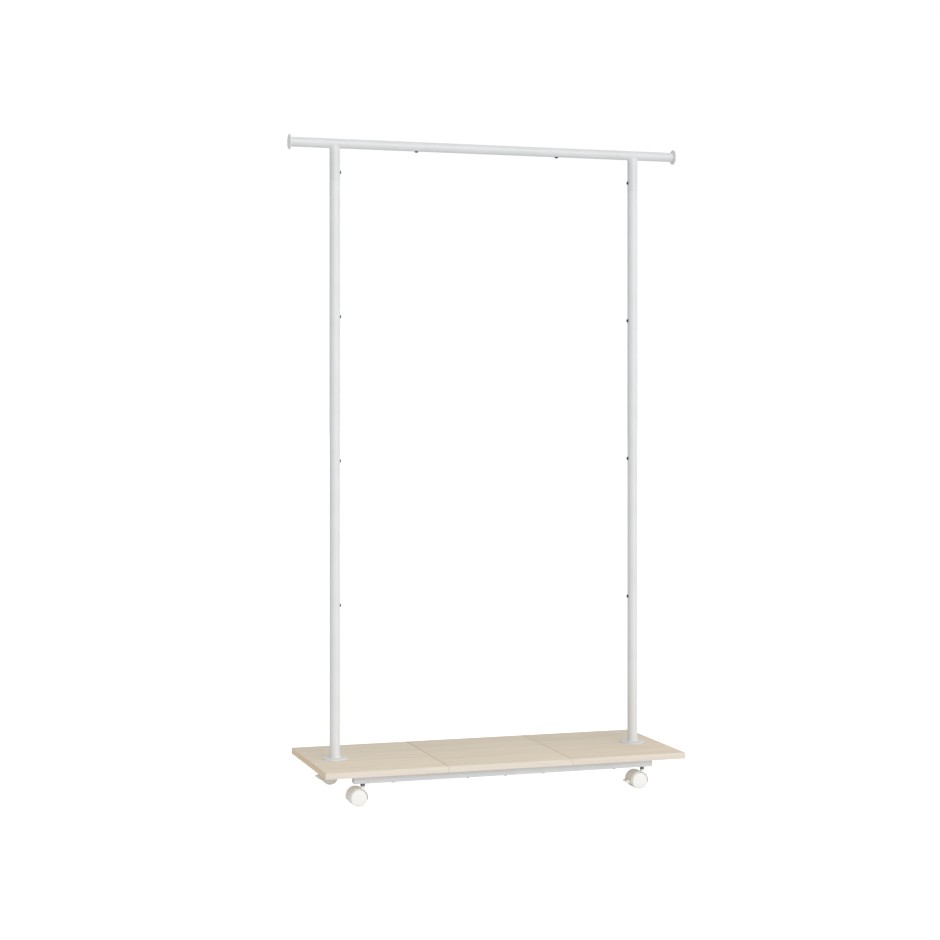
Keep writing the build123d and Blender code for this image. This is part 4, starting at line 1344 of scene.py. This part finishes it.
    def build_wheel(self, model: Piece, corner: str, position: Row) -> None:
        """Put a copy of the wheel on its side of a caster."""
        node = f"caster_{corner}_wheel_{position.word}"
        hood_low, hood_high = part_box(f"caster_{corner}_hood")
        low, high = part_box(node)
        middle = (low + high) / 2
        middle.y = (hood_low.y + hood_high.y) / 2
        turn = Matrix.Rotation(math.pi if position is Row.REAR else 0.0, 4, "Z")
        placed = Bench.copy(model, Matrix.Translation(middle) @ turn)
        wheel = Bench.finish(placed, f"moulded_{node}")
        tread = (middle, self.wheel_radius * MM)
        finish = WHEEL_NYLON.material(f"wheel nylon {corner} {position.word}", tread)
        hand_over(wheel, finish, f"{corner}_wheel_{position.word}", "caster_wheel", node)

    def build_nuts(self, places: list[Vector]) -> None:
        """Put a lock nut on each stem."""
        low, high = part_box("caster_nuts")
        model = self.model_nut((high.z - low.z) / MM)
        nuts = Bench.scatter(model, [Matrix.Translation((at.x, at.y, low.z)) for at in places])
        Bench.finish(nuts, "hexagon_lock_nuts")
        finish = NUT_STEEL.material("lock nut plating")
        hand_over(nuts, finish, "rack", "dark_nut", "caster_nuts")


# ---------------------------------------------------------------- studio


@dataclass
class Studio:
    """Glowing pale floor, one soft key light, and a white surround that lights less on the left."""

    floor_radius: float = 60.0
    floor_glow: Span = (0.33, 0.86)
    floor_colour: Colour = (0.50, 0.50, 0.50, 1.0)
    floor_tone: float = 1.06
    floor_roughness: float = 0.9
    floor_gleam: float = 0.1
    sky_light: Span = (0.54, 0.82)
    sky_seen: float = 1.02
    key_strength: float = 1.05
    key_spread: float = math.radians(30)
    key_from: Vector = field(default_factory=lambda: Vector((0.203, -0.934, 0.292)))
    lens: float = 75.25
    sensor: float = 36.0
    camera_at: Vector = field(default_factory=lambda: Vector((-1.511, -4.583, 0.932)))
    camera_yaw: float = math.radians(17.76)
    shift_x: float = -0.0005
    shift_y: float = -0.0686

    def build(self) -> None:
        """Set up the floor, the lights, the surround and the camera."""
        self.lay_floor()
        self.hang_key()
        self.paint_surround()
        self.stand_camera()
        bpy.context.scene.view_settings.view_transform = "Standard"

    @staticmethod
    def hang(name: str, data: bpy.types.ID) -> Piece:
        """Put a light or a camera into the scene."""
        holder = bpy.data.objects.new(name, data)
        bpy.context.scene.collection.objects.link(holder)
        return holder

    def lay_floor(self) -> None:
        """Lay the round floor, which glows more to the camera than it lights the rack."""
        Bench.clear()
        bpy.ops.mesh.primitive_circle_add(
            vertices=128, radius=self.floor_radius, fill_type="NGON"
        )
        floor = Bench.finish(bpy.context.object, "studio_floor")
        material, graph, shader = start_material("light table")
        clouds = graph.pattern(graph.place(), FLOOR_CLOUDS)
        paler = toned(self.floor_colour, self.floor_tone)
        graph.feed(shader["Base Color"], graph.mix(clouds, self.floor_colour, paler))
        graph.feed(shader["Roughness"], self.floor_roughness)
        graph.feed(shader["Specular IOR Level"], self.floor_gleam)
        graph.feed(shader["Emission Color"], WHITE)
        seen = graph.node("LightPath").outputs["Is Camera Ray"]
        graph.feed(shader["Emission Strength"], graph.ramp(seen, 0.0, 1.0, self.floor_glow))
        floor.data.materials.append(material)

    def hang_key(self) -> None:
        """Hang the key light in front, to the right of the camera and a little higher."""
        light = bpy.data.lights.new("key_light", "SUN")
        light.energy = self.key_strength
        light.angle = self.key_spread
        lamp = self.hang("key_light", light)
        lamp.rotation_euler = self.key_from.to_track_quat("Z", "Y").to_euler()

    def paint_surround(self) -> None:
        """Make the surround white to look at, and as a light dimmer, most of all on the left."""
        world = bpy.data.worlds.new("surround")
        world.use_nodes = True
        world.node_tree.nodes.clear()
        graph = Graph(world.node_tree)
        seen = graph.node("LightPath").outputs["Is Camera Ray"]
        direction = graph.node("TexCoord").outputs["Generated"]
        light = graph.ramp(graph.axis(direction, "X"), -1.0, 1.0, self.sky_light)
        strength = graph.maths("MAXIMUM", light, graph.times(seen, self.sky_seen))
        background = graph.node("Background", {"Color": WHITE, "Strength": strength})
        graph.node("OutputWorld", {"Surface": background.outputs[0]})
        bpy.context.scene.world = world

    def stand_camera(self) -> None:
        """Stand the camera level in front, a little to the left."""
        camera = bpy.data.cameras.new("camera")
        camera.lens = self.lens
        camera.sensor_width = self.sensor
        camera.shift_x = self.shift_x
        camera.shift_y = self.shift_y
        stand = self.hang("camera", camera)
        stand.location = self.camera_at
        stand.rotation_euler = (math.pi / 2, 0, -self.camera_yaw)
        bpy.context.scene.camera = stand


def main() -> None:
    """Build the studio and every sub-assembly, in order."""
    logging.basicConfig(level=logging.INFO, format="%(name)s: %(message)s")
    Studio().build()
    ShelfBoards().build()
    Rails().build()
    paint = WHITE_PAINT.material("post powder coat")
    plating = DARK_STEEL.material("dark screw plating")
    for side in Side:
        Post(side).build(paint, plating)
    HangingBar().build(BAR_PAINT.material("bar powder coat"), plating)
    TwinWheelCaster().build()


if __name__ == "__main__":
    main()
